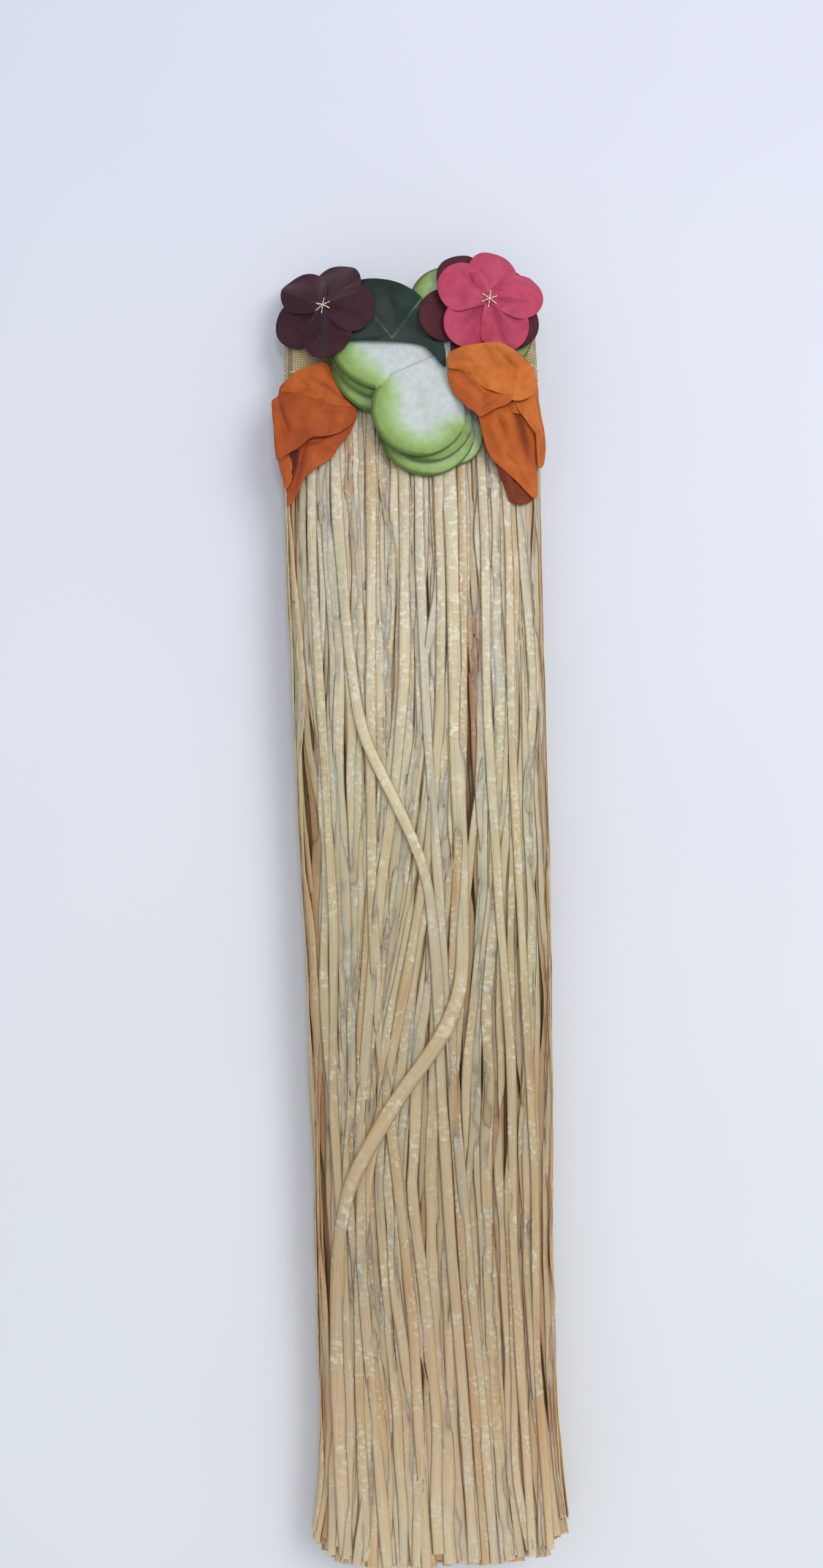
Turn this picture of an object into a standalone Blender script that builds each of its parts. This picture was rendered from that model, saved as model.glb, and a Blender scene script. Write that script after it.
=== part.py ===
"""A child's grass skirt, folded flat into a long bundle with its flowers on top.

Metres, +Z up. The bundle lies on the plane z = 0. +Y runs along it to the waistband, -Y to the
ends of the grass, and X runs across it. The origin is under the middle of the whole.

The skirt is a ring of tape with a row of raffia strips hanging from it. Pressed flat and folded in
four, it has eight layers. The outer layer is a wall of its own, and the layers beneath share one
rounded solid with the folds showing at its two long sides. The flowers and the leaf are thin sheets
that are laid over it one after another, each resting on whatever lies below it.
"""

import math
from collections import namedtuple

import bmesh
import bpy
import numpy as np

# Driving sizes.
WAIST_ROUND = 0.6858  # once round the waistband
LENGTH = 0.4318  # from the waistband's top edge to the longest strips
LAYERS = 8  # the flattened ring, folded in four
PANEL = WAIST_ROUND / LAYERS  # width of the folded bundle
BAND = 0.030  # height of the waistband
FLOWER_RISE = 0.0120  # how far the flowers stand above the waistband
GAP = 0.0003  # between pieces that touch
BAND_WALL = 0.0015
GRASS_WALL = 0.0028  # one loose layer of strips
PETAL_WALL = 0.0010

TOP = (LENGTH + FLOWER_RISE) / 2
BAND_TOP = TOP - FLOWER_RISE
BAND_FOOT = BAND_TOP - BAND

# How far down the height of the stack the outer layer rolls over the long sides.
ROLL = 0.60
FOLD_DEPTH = 0.0030  # how far a fold bulges out of the sides
ARCH_POWER = 3.0  # 2 is an ellipse, and more is flatter on top
ARCH_STEPS = 14
FOLD_STEPS = 4

# Each fold at a long side, from the table up, as shares of the height of the sides. A fold of the
# pressed ring takes in four layers of grass, and the ring's own two ends take in two.
FOLDS_LEFT = ((0.00, 0.52), (0.52, 1.00))
FOLDS_RIGHT = ((0.00, 0.30), (0.30, 1.00))

# The bundle across, at each distance below the waistband's top edge.
Station = namedtuple("Station", "below left right height")
BAND_STATIONS = (
    Station(0.0000, 0.0425, 0.0425, 0.0160),
    Station(0.0150, 0.0428, 0.0428, 0.0170),
    Station(0.0300, 0.0430, 0.0430, 0.0180),
)
GRASS_STATIONS = (
    Station(0.0303, 0.0430, 0.0428, 0.0185),
    Station(0.0450, 0.0436, 0.0428, 0.0215),
    Station(0.0650, 0.0440, 0.0426, 0.0240),
    Station(0.1000, 0.0438, 0.0424, 0.0258),
    Station(0.1500, 0.0428, 0.0424, 0.0265),
    Station(0.2100, 0.0414, 0.0422, 0.0262),
    Station(0.2700, 0.0406, 0.0414, 0.0255),
    Station(0.3300, 0.0402, 0.0396, 0.0245),
    Station(0.3800, 0.0400, 0.0398, 0.0235),
    Station(0.4020, 0.0420, 0.0410, 0.0230),
    Station(0.4160, 0.0442, 0.0428, 0.0220),
    Station(0.4230, 0.0428, 0.0404, 0.0205),
    Station(0.4285, 0.0370, 0.0340, 0.0180),
    Station(LENGTH, 0.0260, 0.0220, 0.0140),
)

# Round-petalled flowers. A petal is a disc whose middle stands off from the flower's middle.
Petal = namedtuple("Petal", "bearing stand_off radius")
WHITE_MIDDLE = (0.0146, BAND_TOP - 0.0220)
WHITE_PETALS = (
    Petal(240, 0.0233, 0.0174),
    Petal(168, 0.0233, 0.0174),
    Petal(96, 0.0165, 0.0130),
    Petal(24, 0.0155, 0.0125),
    Petal(312, 0.0195, 0.0140),
)
# The three layers of the white flower from the lowest up, each slipped by this much.
Slip = namedtuple("Slip", "layer x y")
WHITE_SLIPS = (
    Slip("lower", 0.0012, -0.0060),
    Slip("middle", 0.0004, -0.0025),
    Slip("upper", 0.0000, 0.0000),
)
# The smaller flowers have five like petals, the first at a given bearing.
Ring = namedtuple("Ring", "name x y first stand_off radius")
MAROON_RING = Ring("flower_maroon", -0.0290, BAND_TOP - 0.0060, 205, 0.0094, 0.0084)
RED_LOWER_RING = Ring("flower_red_lower", 0.0235, BAND_TOP - 0.0085, 190, 0.0122, 0.0086)
RED_UPPER_RING = Ring("flower_red_upper", 0.0265, BAND_TOP - 0.0065, 225, 0.0100, 0.0084)
RING_PETALS = 5

# Crumpled flowers, as the reach of their cloth from the middle at each bearing in degrees, with the
# height to which the cloth stands up off what it lies on there.
Reach = namedtuple("Reach", "bearing reach lift")
ORANGE_LEFT_LOWER = (
    Reach(20, 0.0110, 0.0006),
    Reach(52, 0.0165, 0.0008),
    Reach(85, 0.0150, 0.0010),
    Reach(118, 0.0125, 0.0008),
    Reach(155, 0.0114, 0.0004),
    Reach(183, 0.0112, 0.0000),
    Reach(212, 0.0132, 0.0004),
    Reach(238, 0.0205, 0.0014),
    Reach(257, 0.0360, 0.0006),
    Reach(270, 0.0255, 0.0016),
    Reach(292, 0.0200, 0.0004),
    Reach(325, 0.0130, 0.0010),
)
ORANGE_LEFT_UPPER = (
    Reach(20, 0.0098, 0.0012),
    Reach(80, 0.0085, 0.0022),
    Reach(130, 0.0080, 0.0010),
    Reach(175, 0.0092, 0.0016),
    Reach(215, 0.0115, 0.0024),
    Reach(245, 0.0150, 0.0008),
    Reach(272, 0.0205, 0.0020),
    Reach(297, 0.0205, 0.0006),
    Reach(322, 0.0168, 0.0012),
    Reach(342, 0.0165, 0.0000),
    Reach(5, 0.0118, 0.0006),
)
ORANGE_RIGHT_LOWER = (
    Reach(15, 0.0130, 0.0010),
    Reach(60, 0.0095, 0.0016),
    Reach(105, 0.0095, 0.0010),
    Reach(165, 0.0110, 0.0004),
    Reach(225, 0.0130, 0.0012),
    Reach(258, 0.0225, 0.0006),
    Reach(271, 0.0335, 0.0018),
    Reach(281, 0.0450, 0.0008),
    Reach(289, 0.0445, 0.0004),
    Reach(297, 0.0335, 0.0016),
    Reach(304, 0.0325, 0.0002),
    Reach(330, 0.0175, 0.0006),
    Reach(354, 0.0150, 0.0004),
)
ORANGE_RIGHT_UPPER = (
    Reach(10, 0.0105, 0.0016),
    Reach(60, 0.0090, 0.0024),
    Reach(108, 0.0100, 0.0012),
    Reach(141, 0.0126, 0.0020),
    Reach(164, 0.0152, 0.0006),
    Reach(183, 0.0146, 0.0014),
    Reach(205, 0.0154, 0.0004),
    Reach(229, 0.0156, 0.0016),
    Reach(250, 0.0170, 0.0006),
    Reach(268, 0.0230, 0.0022),
    Reach(284, 0.0265, 0.0010),
    Reach(305, 0.0200, 0.0020),
    Reach(335, 0.0140, 0.0008),
)

# The leaf, from its stalk end to its tip.
LEAF_STALK = (-0.0265, BAND_TOP + 0.0015)
LEAF_TIP = (0.0115, BAND_TOP - 0.0295)
LEAF_HALF = 0.0112  # half its width at the widest place
LEAF_WIDEST = 0.40  # how far along that is

# The height map on which the sheets are laid.
CELL = 0.001
MAP_HALF = 0.060
MAP_FOOT = BAND_TOP - 0.100
MAP_HEAD = TOP + 0.012
STEEPEST = 0.9  # cloth bridges anything steeper than this
BRIDGE = 0.025  # the widest step that it bridges
SOFTEN = 0.004  # how far it rounds off what it lies on
CLEAR = 0.0006  # kept between a sheet and what it lies on

RINGS = (0.0, 0.18, 0.42, 0.64, 0.84, 1.0)  # rings of points in a sheet, as shares of its reach
SPOKES = 36


def material(name, colour, roughness):
    """A plain cloth-like material from an sRGB hex colour."""
    made = bpy.data.materials.new(name)
    made.use_nodes = True
    shader = made.node_tree.nodes["Principled BSDF"]
    encoded = [int(colour[i : i + 2], 16) / 255 for i in (0, 2, 4)]
    linear = [((c + 0.055) / 1.055) ** 2.4 if c > 0.04045 else c / 12.92 for c in encoded]
    shader.inputs["Base Color"].default_value = (*linear, 1.0)
    shader.inputs["Roughness"].default_value = roughness
    shader.inputs["Metallic"].default_value = 0.0
    made.diffuse_color = (*linear, 1.0)
    return made


def place(name, mesh_data, look):
    """Puts a finished mesh in the skirt's collection under its own name."""
    obj = bpy.data.objects.new(name, mesh_data)
    obj.data.materials.append(look)
    skirt.objects.link(obj)
    return obj


def arch(left, right, height, foot):
    """The rolled-over top of the stack across X, from the left side to the right."""
    points = []
    for i in range(ARCH_STEPS + 1):
        share = math.sin(math.pi * (i / ARCH_STEPS - 0.5))
        bow = (1 - abs(share) ** ARCH_POWER) ** (1 / ARCH_POWER)
        points.append((share * (left if share < 0 else right), foot + (height - foot) * bow))
    return points


def fold_side(reach, top, folds):
    """The rounded folds at the +X side, from the table up, for a side that stands out by reach."""
    seat = reach - FOLD_DEPTH
    points = []
    for low, high in folds:
        middle = (low + high) / 2 * top
        half = (high - low) / 2 * top
        first = 0 if not points else 1
        for i in range(first, FOLD_STEPS + 1):
            angle = math.pi * (i / FOLD_STEPS - 0.5)
            points.append((seat + FOLD_DEPTH * math.cos(angle), middle + half * math.sin(angle)))
    return points


def outer_section(station, wall):
    """The outer layer: a wall that lies over the stack and rolls down over its sides."""
    foot = ROLL * station.height
    outside = arch(station.left, station.right, station.height, foot)
    inside = arch(station.left - wall, station.right - wall, station.height - wall, foot)
    return outside + inside[::-1]


def inner_section(station, wall):
    """The layers beneath it: a flat underside, folds at both sides and a rounded top."""
    shy = wall + GAP
    foot = ROLL * station.height - GAP
    right = fold_side(station.right, foot, FOLDS_RIGHT)
    left = [(-x, z) for x, z in fold_side(station.left, foot, FOLDS_LEFT)]
    crown = arch(station.left - shy, station.right - shy, station.height - shy, foot)
    return right + crown[::-1] + left[::-1]


def loft(name, stations, wall, section, look):
    """A closed solid through one section at each station, with a flat cap at both ends."""
    bm = bmesh.new()
    loops = []
    for station in stations:
        y = BAND_TOP - station.below
        loops.append([bm.verts.new((x, y, z)) for x, z in section(station, wall)])
    count = len(loops[0])
    for near, far in zip(loops, loops[1:]):
        for i in range(count):
            j = (i + 1) % count
            bm.faces.new((near[i], near[j], far[j], far[i]))
    bm.faces.new(loops[0][::-1])
    bm.faces.new(loops[-1])
    bmesh.ops.recalc_face_normals(bm, faces=bm.faces)
    mesh_data = bpy.data.meshes.new(name)
    bm.to_mesh(mesh_data)
    bm.free()
    return place(name, mesh_data, look)


def bundle_map():
    """The height of the folded bundle at every cell of the map."""
    stations = BAND_STATIONS + GRASS_STATIONS
    below = [station.below for station in stations]
    down = BAND_TOP - map_y
    left = np.interp(down, below, [station.left for station in stations])
    right = np.interp(down, below, [station.right for station in stations])
    height = np.interp(down, below, [station.height for station in stations])
    half = np.where(map_x < 0, left, right)
    share = np.clip(np.abs(map_x) / half, 0, 1)
    bow = (1 - share**ARCH_POWER) ** (1 / ARCH_POWER)
    rise = height * (ROLL + (1 - ROLL) * bow)
    inside = (np.abs(map_x) <= half) & (down >= 0)
    return np.where(inside, rise, 0.0)


def shifted(field, rows, columns):
    """The field moved by whole cells, with its edge repeated."""
    high, wide = field.shape
    row = np.clip(np.arange(high) - rows, 0, high - 1)
    column = np.clip(np.arange(wide) - columns, 0, wide - 1)
    return field[row][:, column]


def widened(field, reach, slope=0.0):
    """Each cell takes the highest of its neighbours within reach, less the slope to them."""
    result = field.copy()
    for _ in range(int(round(reach / CELL))):
        best = result.copy()
        for rows, columns in ((1, 0), (-1, 0), (0, 1), (0, -1)):
            best = np.maximum(best, shifted(result, rows, columns) - slope * CELL)
        for rows, columns in ((1, 1), (1, -1), (-1, 1), (-1, -1)):
            drop = slope * CELL * math.sqrt(2)
            best = np.maximum(best, shifted(result, rows, columns) - drop)
        result = best
    return result


def softened(field, reach):
    """The field with its steps smoothed over about this reach."""
    result = field
    for _ in range(int(round(reach / CELL))):
        total = result.copy()
        for rows, columns in ((1, 0), (-1, 0), (0, 1), (0, -1)):
            total = total + shifted(result, rows, columns)
        result = total / 5
    return result


def read_map(field, x, y):
    """The field's value between four cells."""
    column = (x + MAP_HALF) / CELL
    row = (y - MAP_FOOT) / CELL
    i = int(row)
    j = int(column)
    u = row - i
    v = column - j
    low = field[i, j] * (1 - v) + field[i, j + 1] * v
    high = field[i + 1, j] * (1 - v) + field[i + 1, j + 1] * v
    return low * (1 - u) + high * u


def lattice_places(x, y, reach_at):
    """Where each cell of the map falls on a sheet: its ring, its spoke, and if it is under it."""
    spoke = (np.arctan2(map_y - y, map_x - x) / (2 * math.pi) % 1) * SPOKES
    grid = np.arange(SPOKES + 1)
    reach = np.interp(spoke, grid, [reach_at(2 * math.pi * i / SPOKES) for i in grid])
    share = np.hypot(map_x - x, map_y - y) / reach
    ring = np.interp(share, RINGS, np.arange(len(RINGS)))
    return ring, spoke, share * reach <= reach + CELL


def between(values, ring, spoke):
    """Values given at each ring and spoke, read between them, with the corners that each used."""
    i = np.minimum(ring.astype(int), len(RINGS) - 2)
    j = spoke.astype(int) % SPOKES
    u = ring - i
    v = spoke - spoke.astype(int)
    k = (j + 1) % SPOKES
    near = values[i, j] * (1 - v) + values[i, k] * v
    far = values[i + 1, j] * (1 - v) + values[i + 1, k] * v
    return near * (1 - u) + far * u, ((i, j), (i, k), (i + 1, j), (i + 1, k))


def lay_sheet(name, x, y, reach_at, look, lift_at=lambda angle, share: 0.0):
    """Lays a sheet of cloth over the map and raises the map by it.

    reach_at gives the sheet's reach from its middle at an angle, and lift_at how far its cloth
    stands up there at a share of that reach. The underside follows the smoothed map and is then
    raised wherever a facet would cut into what it lies on. Solidify gives the wall above it.
    """
    global heap
    resting = softened(widened(heap, BRIDGE, STEEPEST), SOFTEN)
    angles = [2 * math.pi * i / SPOKES for i in range(SPOKES)]
    heights = np.zeros((len(RINGS), SPOKES))
    spots = {}
    for i, share in enumerate(RINGS):
        for j, angle in enumerate(angles):
            out = share * reach_at(angle)
            spots[i, j] = (x + out * math.cos(angle), y + out * math.sin(angle))
            heights[i, j] = read_map(resting, *spots[i, j]) + lift_at(angle, share)
    ring, spoke, under = lattice_places(x, y, reach_at)
    height, corners = between(heights, ring, spoke)
    shortfall = np.where(under, widened(heap, CELL) + CLEAR - height, 0.0)
    raised = np.zeros_like(heights)
    for rows, columns in corners:
        np.maximum.at(raised, (rows, columns), shortfall)
    heights += raised
    heights[0] = heights[0].max()

    bm = bmesh.new()
    middle = bm.verts.new((x, y, heights[0, 0]))
    loops = []
    for i in range(1, len(RINGS)):
        loops.append([bm.verts.new((*spots[i, j], heights[i, j])) for j in range(SPOKES)])
    for j in range(SPOKES):
        k = (j + 1) % SPOKES
        bm.faces.new((middle, loops[0][j], loops[0][k]))
        for near, far in zip(loops, loops[1:]):
            bm.faces.new((near[j], far[j], far[k], near[k]))
    mesh_data = bpy.data.meshes.new(name)
    bm.to_mesh(mesh_data)
    bm.free()
    obj = place(name, mesh_data, look)
    wall = obj.modifiers.new("wall", "SOLIDIFY")
    wall.thickness = PETAL_WALL
    wall.offset = 1.0

    # The map rises to the sheet's upper side wherever the sheet lies.
    height, corners = between(heights, ring, spoke)
    slope_y, slope_x = np.gradient(height, CELL)
    upper = height + PETAL_WALL * np.sqrt(1 + np.minimum(slope_x**2 + slope_y**2, 4.0))
    heap = np.where(under, np.maximum(heap, upper), heap)
    return obj


def petal_reach(petals):
    """The outline of a flower of round petals, as its farthest petal's reach at each angle."""

    def reach_at(angle):
        farthest = 0.0
        for petal in petals:
            off = angle - math.radians(petal.bearing)
            side = petal.stand_off * math.sin(off)
            if math.cos(off) > 0 and abs(side) < petal.radius:
                edge = petal.stand_off * math.cos(off) + math.sqrt(petal.radius**2 - side**2)
                farthest = max(farthest, edge)
        return farthest

    return reach_at


def ring_petals(ring):
    """The like petals of a small flower."""
    turn = 360 / RING_PETALS
    bearings = [ring.first + turn * i for i in range(RING_PETALS)]
    return [Petal(bearing, ring.stand_off, ring.radius) for bearing in bearings]


def crumpled(rows):
    """The outline and the folds of a crumpled sheet, from its table."""
    ordered = sorted(rows)
    turns = [ordered[-1].bearing - 360] + [r.bearing for r in ordered] + [ordered[0].bearing + 360]
    reaches = [ordered[-1].reach] + [r.reach for r in ordered] + [ordered[0].reach]
    lifts = [ordered[-1].lift] + [r.lift for r in ordered] + [ordered[0].lift]

    def reach_at(angle):
        return float(np.interp(math.degrees(angle) % 360, turns, reaches))

    def lift_at(angle, share):
        ridge = float(np.interp(math.degrees(angle) % 360, turns, lifts))
        return ridge * math.sin(math.pi * min(share, 1.0) ** 0.8)

    return reach_at, lift_at


def leaf_reach():
    """A pointed leaf about its own middle, found by stepping out until the edge is crossed."""
    along_x = LEAF_TIP[0] - LEAF_STALK[0]
    along_y = LEAF_TIP[1] - LEAF_STALK[1]
    length = math.hypot(along_x, along_y)
    lean = math.atan2(along_y, along_x)

    def half_width(share):
        if not 0 < share < 1:
            return 0.0
        bend = math.log(0.5) / math.log(LEAF_WIDEST)
        return LEAF_HALF * math.sin(math.pi * share**bend) ** 0.85

    def reach_at(angle):
        turn = angle - lean
        out = 0.0
        step = length / 400
        while out < length:
            share = 0.5 + (out + step) * math.cos(turn) / length
            if abs((out + step) * math.sin(turn)) > half_width(share):
                return max(out, step)
            out += step
        return out

    return reach_at, length


for old in list(bpy.data.objects):
    bpy.data.objects.remove(old, do_unlink=True)
skirt = bpy.data.collections.new("grass_skirt")
bpy.context.scene.collection.children.link(skirt)

tape = material("waistband_tape", "C9B894", 0.8)
raffia = material("raffia", "BBA683", 0.45)
orange = material("orange_cloth", "C2662E", 0.75)
green = material("leaf_cloth", "2E4A35", 0.7)
maroon = material("maroon_cloth", "5A1F2E", 0.75)
dark_red = material("dark_red_cloth", "5A1626", 0.75)
pink_red = material("pink_red_cloth", "B83A5C", 0.75)
white = material("white_green_cloth", "C6DAAE", 0.75)

# The waistband and the grass, each as the outer layer and the folded layers beneath it.
loft("waistband_top_panel", BAND_STATIONS, BAND_WALL, outer_section, tape)
loft("waistband_folded_layers", BAND_STATIONS, BAND_WALL, inner_section, tape)
loft("fringe_top_panel", GRASS_STATIONS, GRASS_WALL, outer_section, raffia)
loft("fringe_folded_layers", GRASS_STATIONS, GRASS_WALL, inner_section, raffia)

# The map of heights that the flowers are laid on, row by row from the grass to the waistband.
map_y, map_x = np.meshgrid(
    np.arange(MAP_FOOT, MAP_HEAD, CELL), np.arange(-MAP_HALF, MAP_HALF, CELL), indexing="ij"
)
heap = bundle_map()

LEFT_MIDDLE = (-0.0343, BAND_TOP - 0.0359)
RIGHT_MIDDLE = (0.0265, BAND_TOP - 0.0293)

for layer, rows in (("lower", ORANGE_LEFT_LOWER), ("upper", ORANGE_LEFT_UPPER)):
    outline, folds = crumpled(rows)
    lay_sheet("flower_orange_left_" + layer, *LEFT_MIDDLE, outline, orange, folds)

for slip in WHITE_SLIPS:
    middle_x = WHITE_MIDDLE[0] + slip.x
    middle_y = WHITE_MIDDLE[1] + slip.y
    lay_sheet("flower_white_" + slip.layer, middle_x, middle_y, petal_reach(WHITE_PETALS), white)

leaf_outline, leaf_length = leaf_reach()
leaf_x = (LEAF_STALK[0] + LEAF_TIP[0]) / 2
leaf_y = (LEAF_STALK[1] + LEAF_TIP[1]) / 2
lay_sheet("leaf", leaf_x, leaf_y, leaf_outline, green)

small_flowers = ((MAROON_RING, maroon), (RED_LOWER_RING, dark_red), (RED_UPPER_RING, pink_red))
for ring, look in small_flowers:
    lay_sheet(ring.name, ring.x, ring.y, petal_reach(ring_petals(ring)), look)

for layer, rows in (("lower", ORANGE_RIGHT_LOWER), ("upper", ORANGE_RIGHT_UPPER)):
    outline, folds = crumpled(rows)
    lay_sheet("flower_orange_right_" + layer, *RIGHT_MIDDLE, outline, orange, folds)
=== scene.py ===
# %% [markdown]
# # A child's grass skirt, folded flat
# The skirt is a closed ring of tape from which over six hundred raffia ribbons hang. Pressed flat
# and folded in four it is a bundle of eight layers, with cloth flowers and a leaf sewn on at the top.
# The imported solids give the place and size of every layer, and this script dresses them.

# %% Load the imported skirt
import math

import bmesh
import bpy
import numpy as np
from mathutils import Matrix, Vector
from mathutils.bvhtree import BVHTree


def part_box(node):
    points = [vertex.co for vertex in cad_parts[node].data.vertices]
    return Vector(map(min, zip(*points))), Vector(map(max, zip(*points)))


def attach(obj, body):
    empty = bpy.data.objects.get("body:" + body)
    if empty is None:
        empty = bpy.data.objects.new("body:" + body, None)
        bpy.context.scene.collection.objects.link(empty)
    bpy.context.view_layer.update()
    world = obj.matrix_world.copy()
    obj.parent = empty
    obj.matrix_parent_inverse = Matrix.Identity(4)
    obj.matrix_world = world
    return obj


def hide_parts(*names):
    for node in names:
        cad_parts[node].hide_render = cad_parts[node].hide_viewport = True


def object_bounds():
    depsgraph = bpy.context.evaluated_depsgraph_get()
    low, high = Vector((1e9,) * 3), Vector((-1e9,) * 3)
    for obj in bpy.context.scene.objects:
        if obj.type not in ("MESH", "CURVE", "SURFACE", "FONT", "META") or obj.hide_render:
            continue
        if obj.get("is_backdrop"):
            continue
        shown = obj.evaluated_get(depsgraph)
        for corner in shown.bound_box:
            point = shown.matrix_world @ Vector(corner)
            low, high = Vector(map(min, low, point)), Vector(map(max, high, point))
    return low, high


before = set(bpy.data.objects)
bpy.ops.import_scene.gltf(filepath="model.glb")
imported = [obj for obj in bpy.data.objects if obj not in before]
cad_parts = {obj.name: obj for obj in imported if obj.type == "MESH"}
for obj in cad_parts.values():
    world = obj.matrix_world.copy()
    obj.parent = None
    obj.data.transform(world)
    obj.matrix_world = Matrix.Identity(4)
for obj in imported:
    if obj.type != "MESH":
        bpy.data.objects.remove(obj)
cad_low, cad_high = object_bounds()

MM = 0.001
WAIST_ROUND = 0.6858
LENGTH = 0.4318
LAYERS = 8
BAND = 0.030
BAND_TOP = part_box("waistband_top_panel")[1].y
print("waistband top edge at y", round(BAND_TOP, 4))

# %% [markdown]
# ## Camera, table and light
# The bundle lies on a pale table and is seen from straight above, the hem close to the lower edge of
# the frame. The light is a soft bright room: a cool even sky, one large lamp on the right that leaves a
# faint shade on the left, and a small lamp that catches the crinkles in the shiny raffia.

# %% Camera
CAMERA_AT = Vector((-0.0038, 0.0434, 0.5680))
FRAME_UP = Vector((0.0275, 0.99962, 0.0))
FRAME_TALL = 0.5195  # metres from the frame's lower to its upper edge
FRAME_AT = 0.028  # the height over the table at which that is measured
SENSOR = 36.0  # mm
scene = bpy.context.scene
camera_data = bpy.data.cameras.new("straight_down")
camera_data.sensor_width = SENSOR
camera_data.lens = SENSOR * (CAMERA_AT.z - FRAME_AT) / FRAME_TALL
camera = bpy.data.objects.new("straight_down", camera_data)
side = FRAME_UP.cross(Vector((0, 0, 1)))
camera.matrix_world = Matrix((
    (side.x, FRAME_UP.x, 0, CAMERA_AT.x),
    (side.y, FRAME_UP.y, 0, CAMERA_AT.y),
    (0, 0, 1, CAMERA_AT.z),
    (0, 0, 0, 1),
))
scene.collection.objects.link(camera)
scene.camera = camera
scene.view_settings.view_transform = "Standard"
print("lens", round(camera_data.lens, 1), "mm")


# %% Colour and node helpers
def linear(code):
    """An sRGB hex colour as the linear colour that shaders and lights take."""
    parts = [int(code[i : i + 2], 16) / 255 for i in (0, 2, 4)]
    return tuple(((c + 0.055) / 1.055) ** 2.4 if c > 0.04045 else c / 12.92 for c in parts) + (1.0,)


def add_node(tree, kind, links=None, **settings):
    """Adds one node. Its settings are attributes, and links gives each input a value or a socket."""
    node = tree.nodes.new(kind)
    for name, value in settings.items():
        setattr(node, name, value)
    for key, value in (links or {}).items():
        if isinstance(value, bpy.types.NodeSocket):
            tree.links.new(value, node.inputs[key])
        else:
            node.inputs[key].default_value = value
    return node


def new_material(name, **constants):
    """A material with an empty Principled shader, whose even values sit on its own sockets."""
    material = bpy.data.materials.new(name)
    material.use_nodes = True
    shader = material.node_tree.nodes["Principled BSDF"]
    for key, value in constants.items():
        shader.inputs[key.replace("_", " ")].default_value = value
    return material, material.node_tree, shader


def colour_ramp(tree, factor, stops):
    """A ramp through sRGB hex colours, each at its place from 0 to 1."""
    ramp = add_node(tree, "ShaderNodeValToRGB", {0: factor})
    elements = ramp.color_ramp.elements
    while len(elements) < len(stops):
        elements.new(0.5)
    for element, (place, code) in zip(elements, stops):
        element.position = place
        element.color = linear(code)
    return ramp.outputs["Color"]


def span(tree, value, low, high, to_low=0.0, to_high=1.0):
    """A value taken from one range to another and held at its ends."""
    links = {0: value, 1: low, 2: high, 3: to_low, 4: to_high}
    return add_node(tree, "ShaderNodeMapRange", links).outputs[0]


def blend_colours(tree, kind, factor, first, second):
    """Two colours mixed in the given way."""
    links = {0: factor, 6: first, 7: second}
    node = add_node(tree, "ShaderNodeMix", links, data_type="RGBA", blend_type=kind)
    return node.outputs[2]


def reckon(tree, operation, first, second=0.0):
    """One step of arithmetic."""
    return add_node(tree, "ShaderNodeMath", {0: first, 1: second}, operation=operation).outputs[0]


def noise(tree, vector, scale, detail=2.0, roughness=0.5):
    """A noise texture's value."""
    links = {"Vector": vector, "Scale": scale, "Detail": detail, "Roughness": roughness}
    return add_node(tree, "ShaderNodeTexNoise", links).outputs[0]


def read_attribute(tree, name, output="Fac"):
    """A value that the piece's mesh carries at its points."""
    node = add_node(tree, "ShaderNodeAttribute", attribute_name=name)
    return node.outputs[output]


def raise_surface(tree, shader, height, distance, strength=1.0):
    """Gives the shader relief from a height between 0 and 1, which stands for this distance in metres."""
    links = {"Height": height, "Distance": distance, "Strength": strength}
    bump = add_node(tree, "ShaderNodeBump", links)
    tree.links.new(bump.outputs["Normal"], shader.inputs["Normal"])


def weave_of(tree, thread, pitch, **links):
    """A plain weave between 0 and 1, with its threads a pitch apart in metres."""
    links = {"Vector": thread, "Scale": 2 * math.pi / (20 * pitch), **links}
    warp, weft = (add_node(tree, "ShaderNodeTexWave", links, bands_direction=way).outputs[1] for way in "XY")
    return reckon(tree, "MULTIPLY", warp, weft)


# %% Table and lights
def painted_table():
    """Pale blue-white satin paint with the faintest mottling, and painted shade that makes it a little darker
    and bluer towards the waistband end.
    """
    material, tree, shader = new_material("painted_table", Roughness=0.55)
    place = add_node(tree, "ShaderNodeTexCoord").outputs["Object"]
    mottle = noise(tree, place, 5.0, 3.0)
    colour = colour_ramp(tree, mottle, ((0.3, "DFE4EA"), (0.7, "E3E8ED")))
    along = add_node(tree, "ShaderNodeSeparateXYZ", {0: place}).outputs[1]
    # painted shade: darker and bluer towards the waistband end of the table
    colour = blend_colours(tree, "MULTIPLY", span(tree, along, -0.2, 0.3), colour, linear("F2F1FA"))
    tree.links.new(colour, shader.inputs["Base Color"])
    return material


TABLE_HALF = 1.6
TABLE_TOP = -0.0004  # just below the skirt, so that no two faces share a plane
table_mesh = bpy.data.meshes.new("table")
corners = [(-1, -1), (1, -1), (1, 1), (-1, 1)]
table_mesh.from_pydata([(x * TABLE_HALF, y * TABLE_HALF, TABLE_TOP) for x, y in corners], [], [(0, 1, 2, 3)])
table_mesh.materials.append(painted_table())
table = bpy.data.objects.new("table", table_mesh)
scene.collection.objects.link(table)
table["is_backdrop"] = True


def lamp(name, at, size, power, code):
    """A soft square lamp of so many watts that looks at the middle of the bundle."""
    data = bpy.data.lights.new(name, "AREA")
    data.size = size
    data.energy = power
    data.color = linear(code)[:3]
    made = bpy.data.objects.new(name, data)
    made.location = at
    made.rotation_euler = (Vector((0, 0, 0.02)) - Vector(at)).to_track_quat("-Z", "Y").to_euler()
    scene.collection.objects.link(made)


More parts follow.
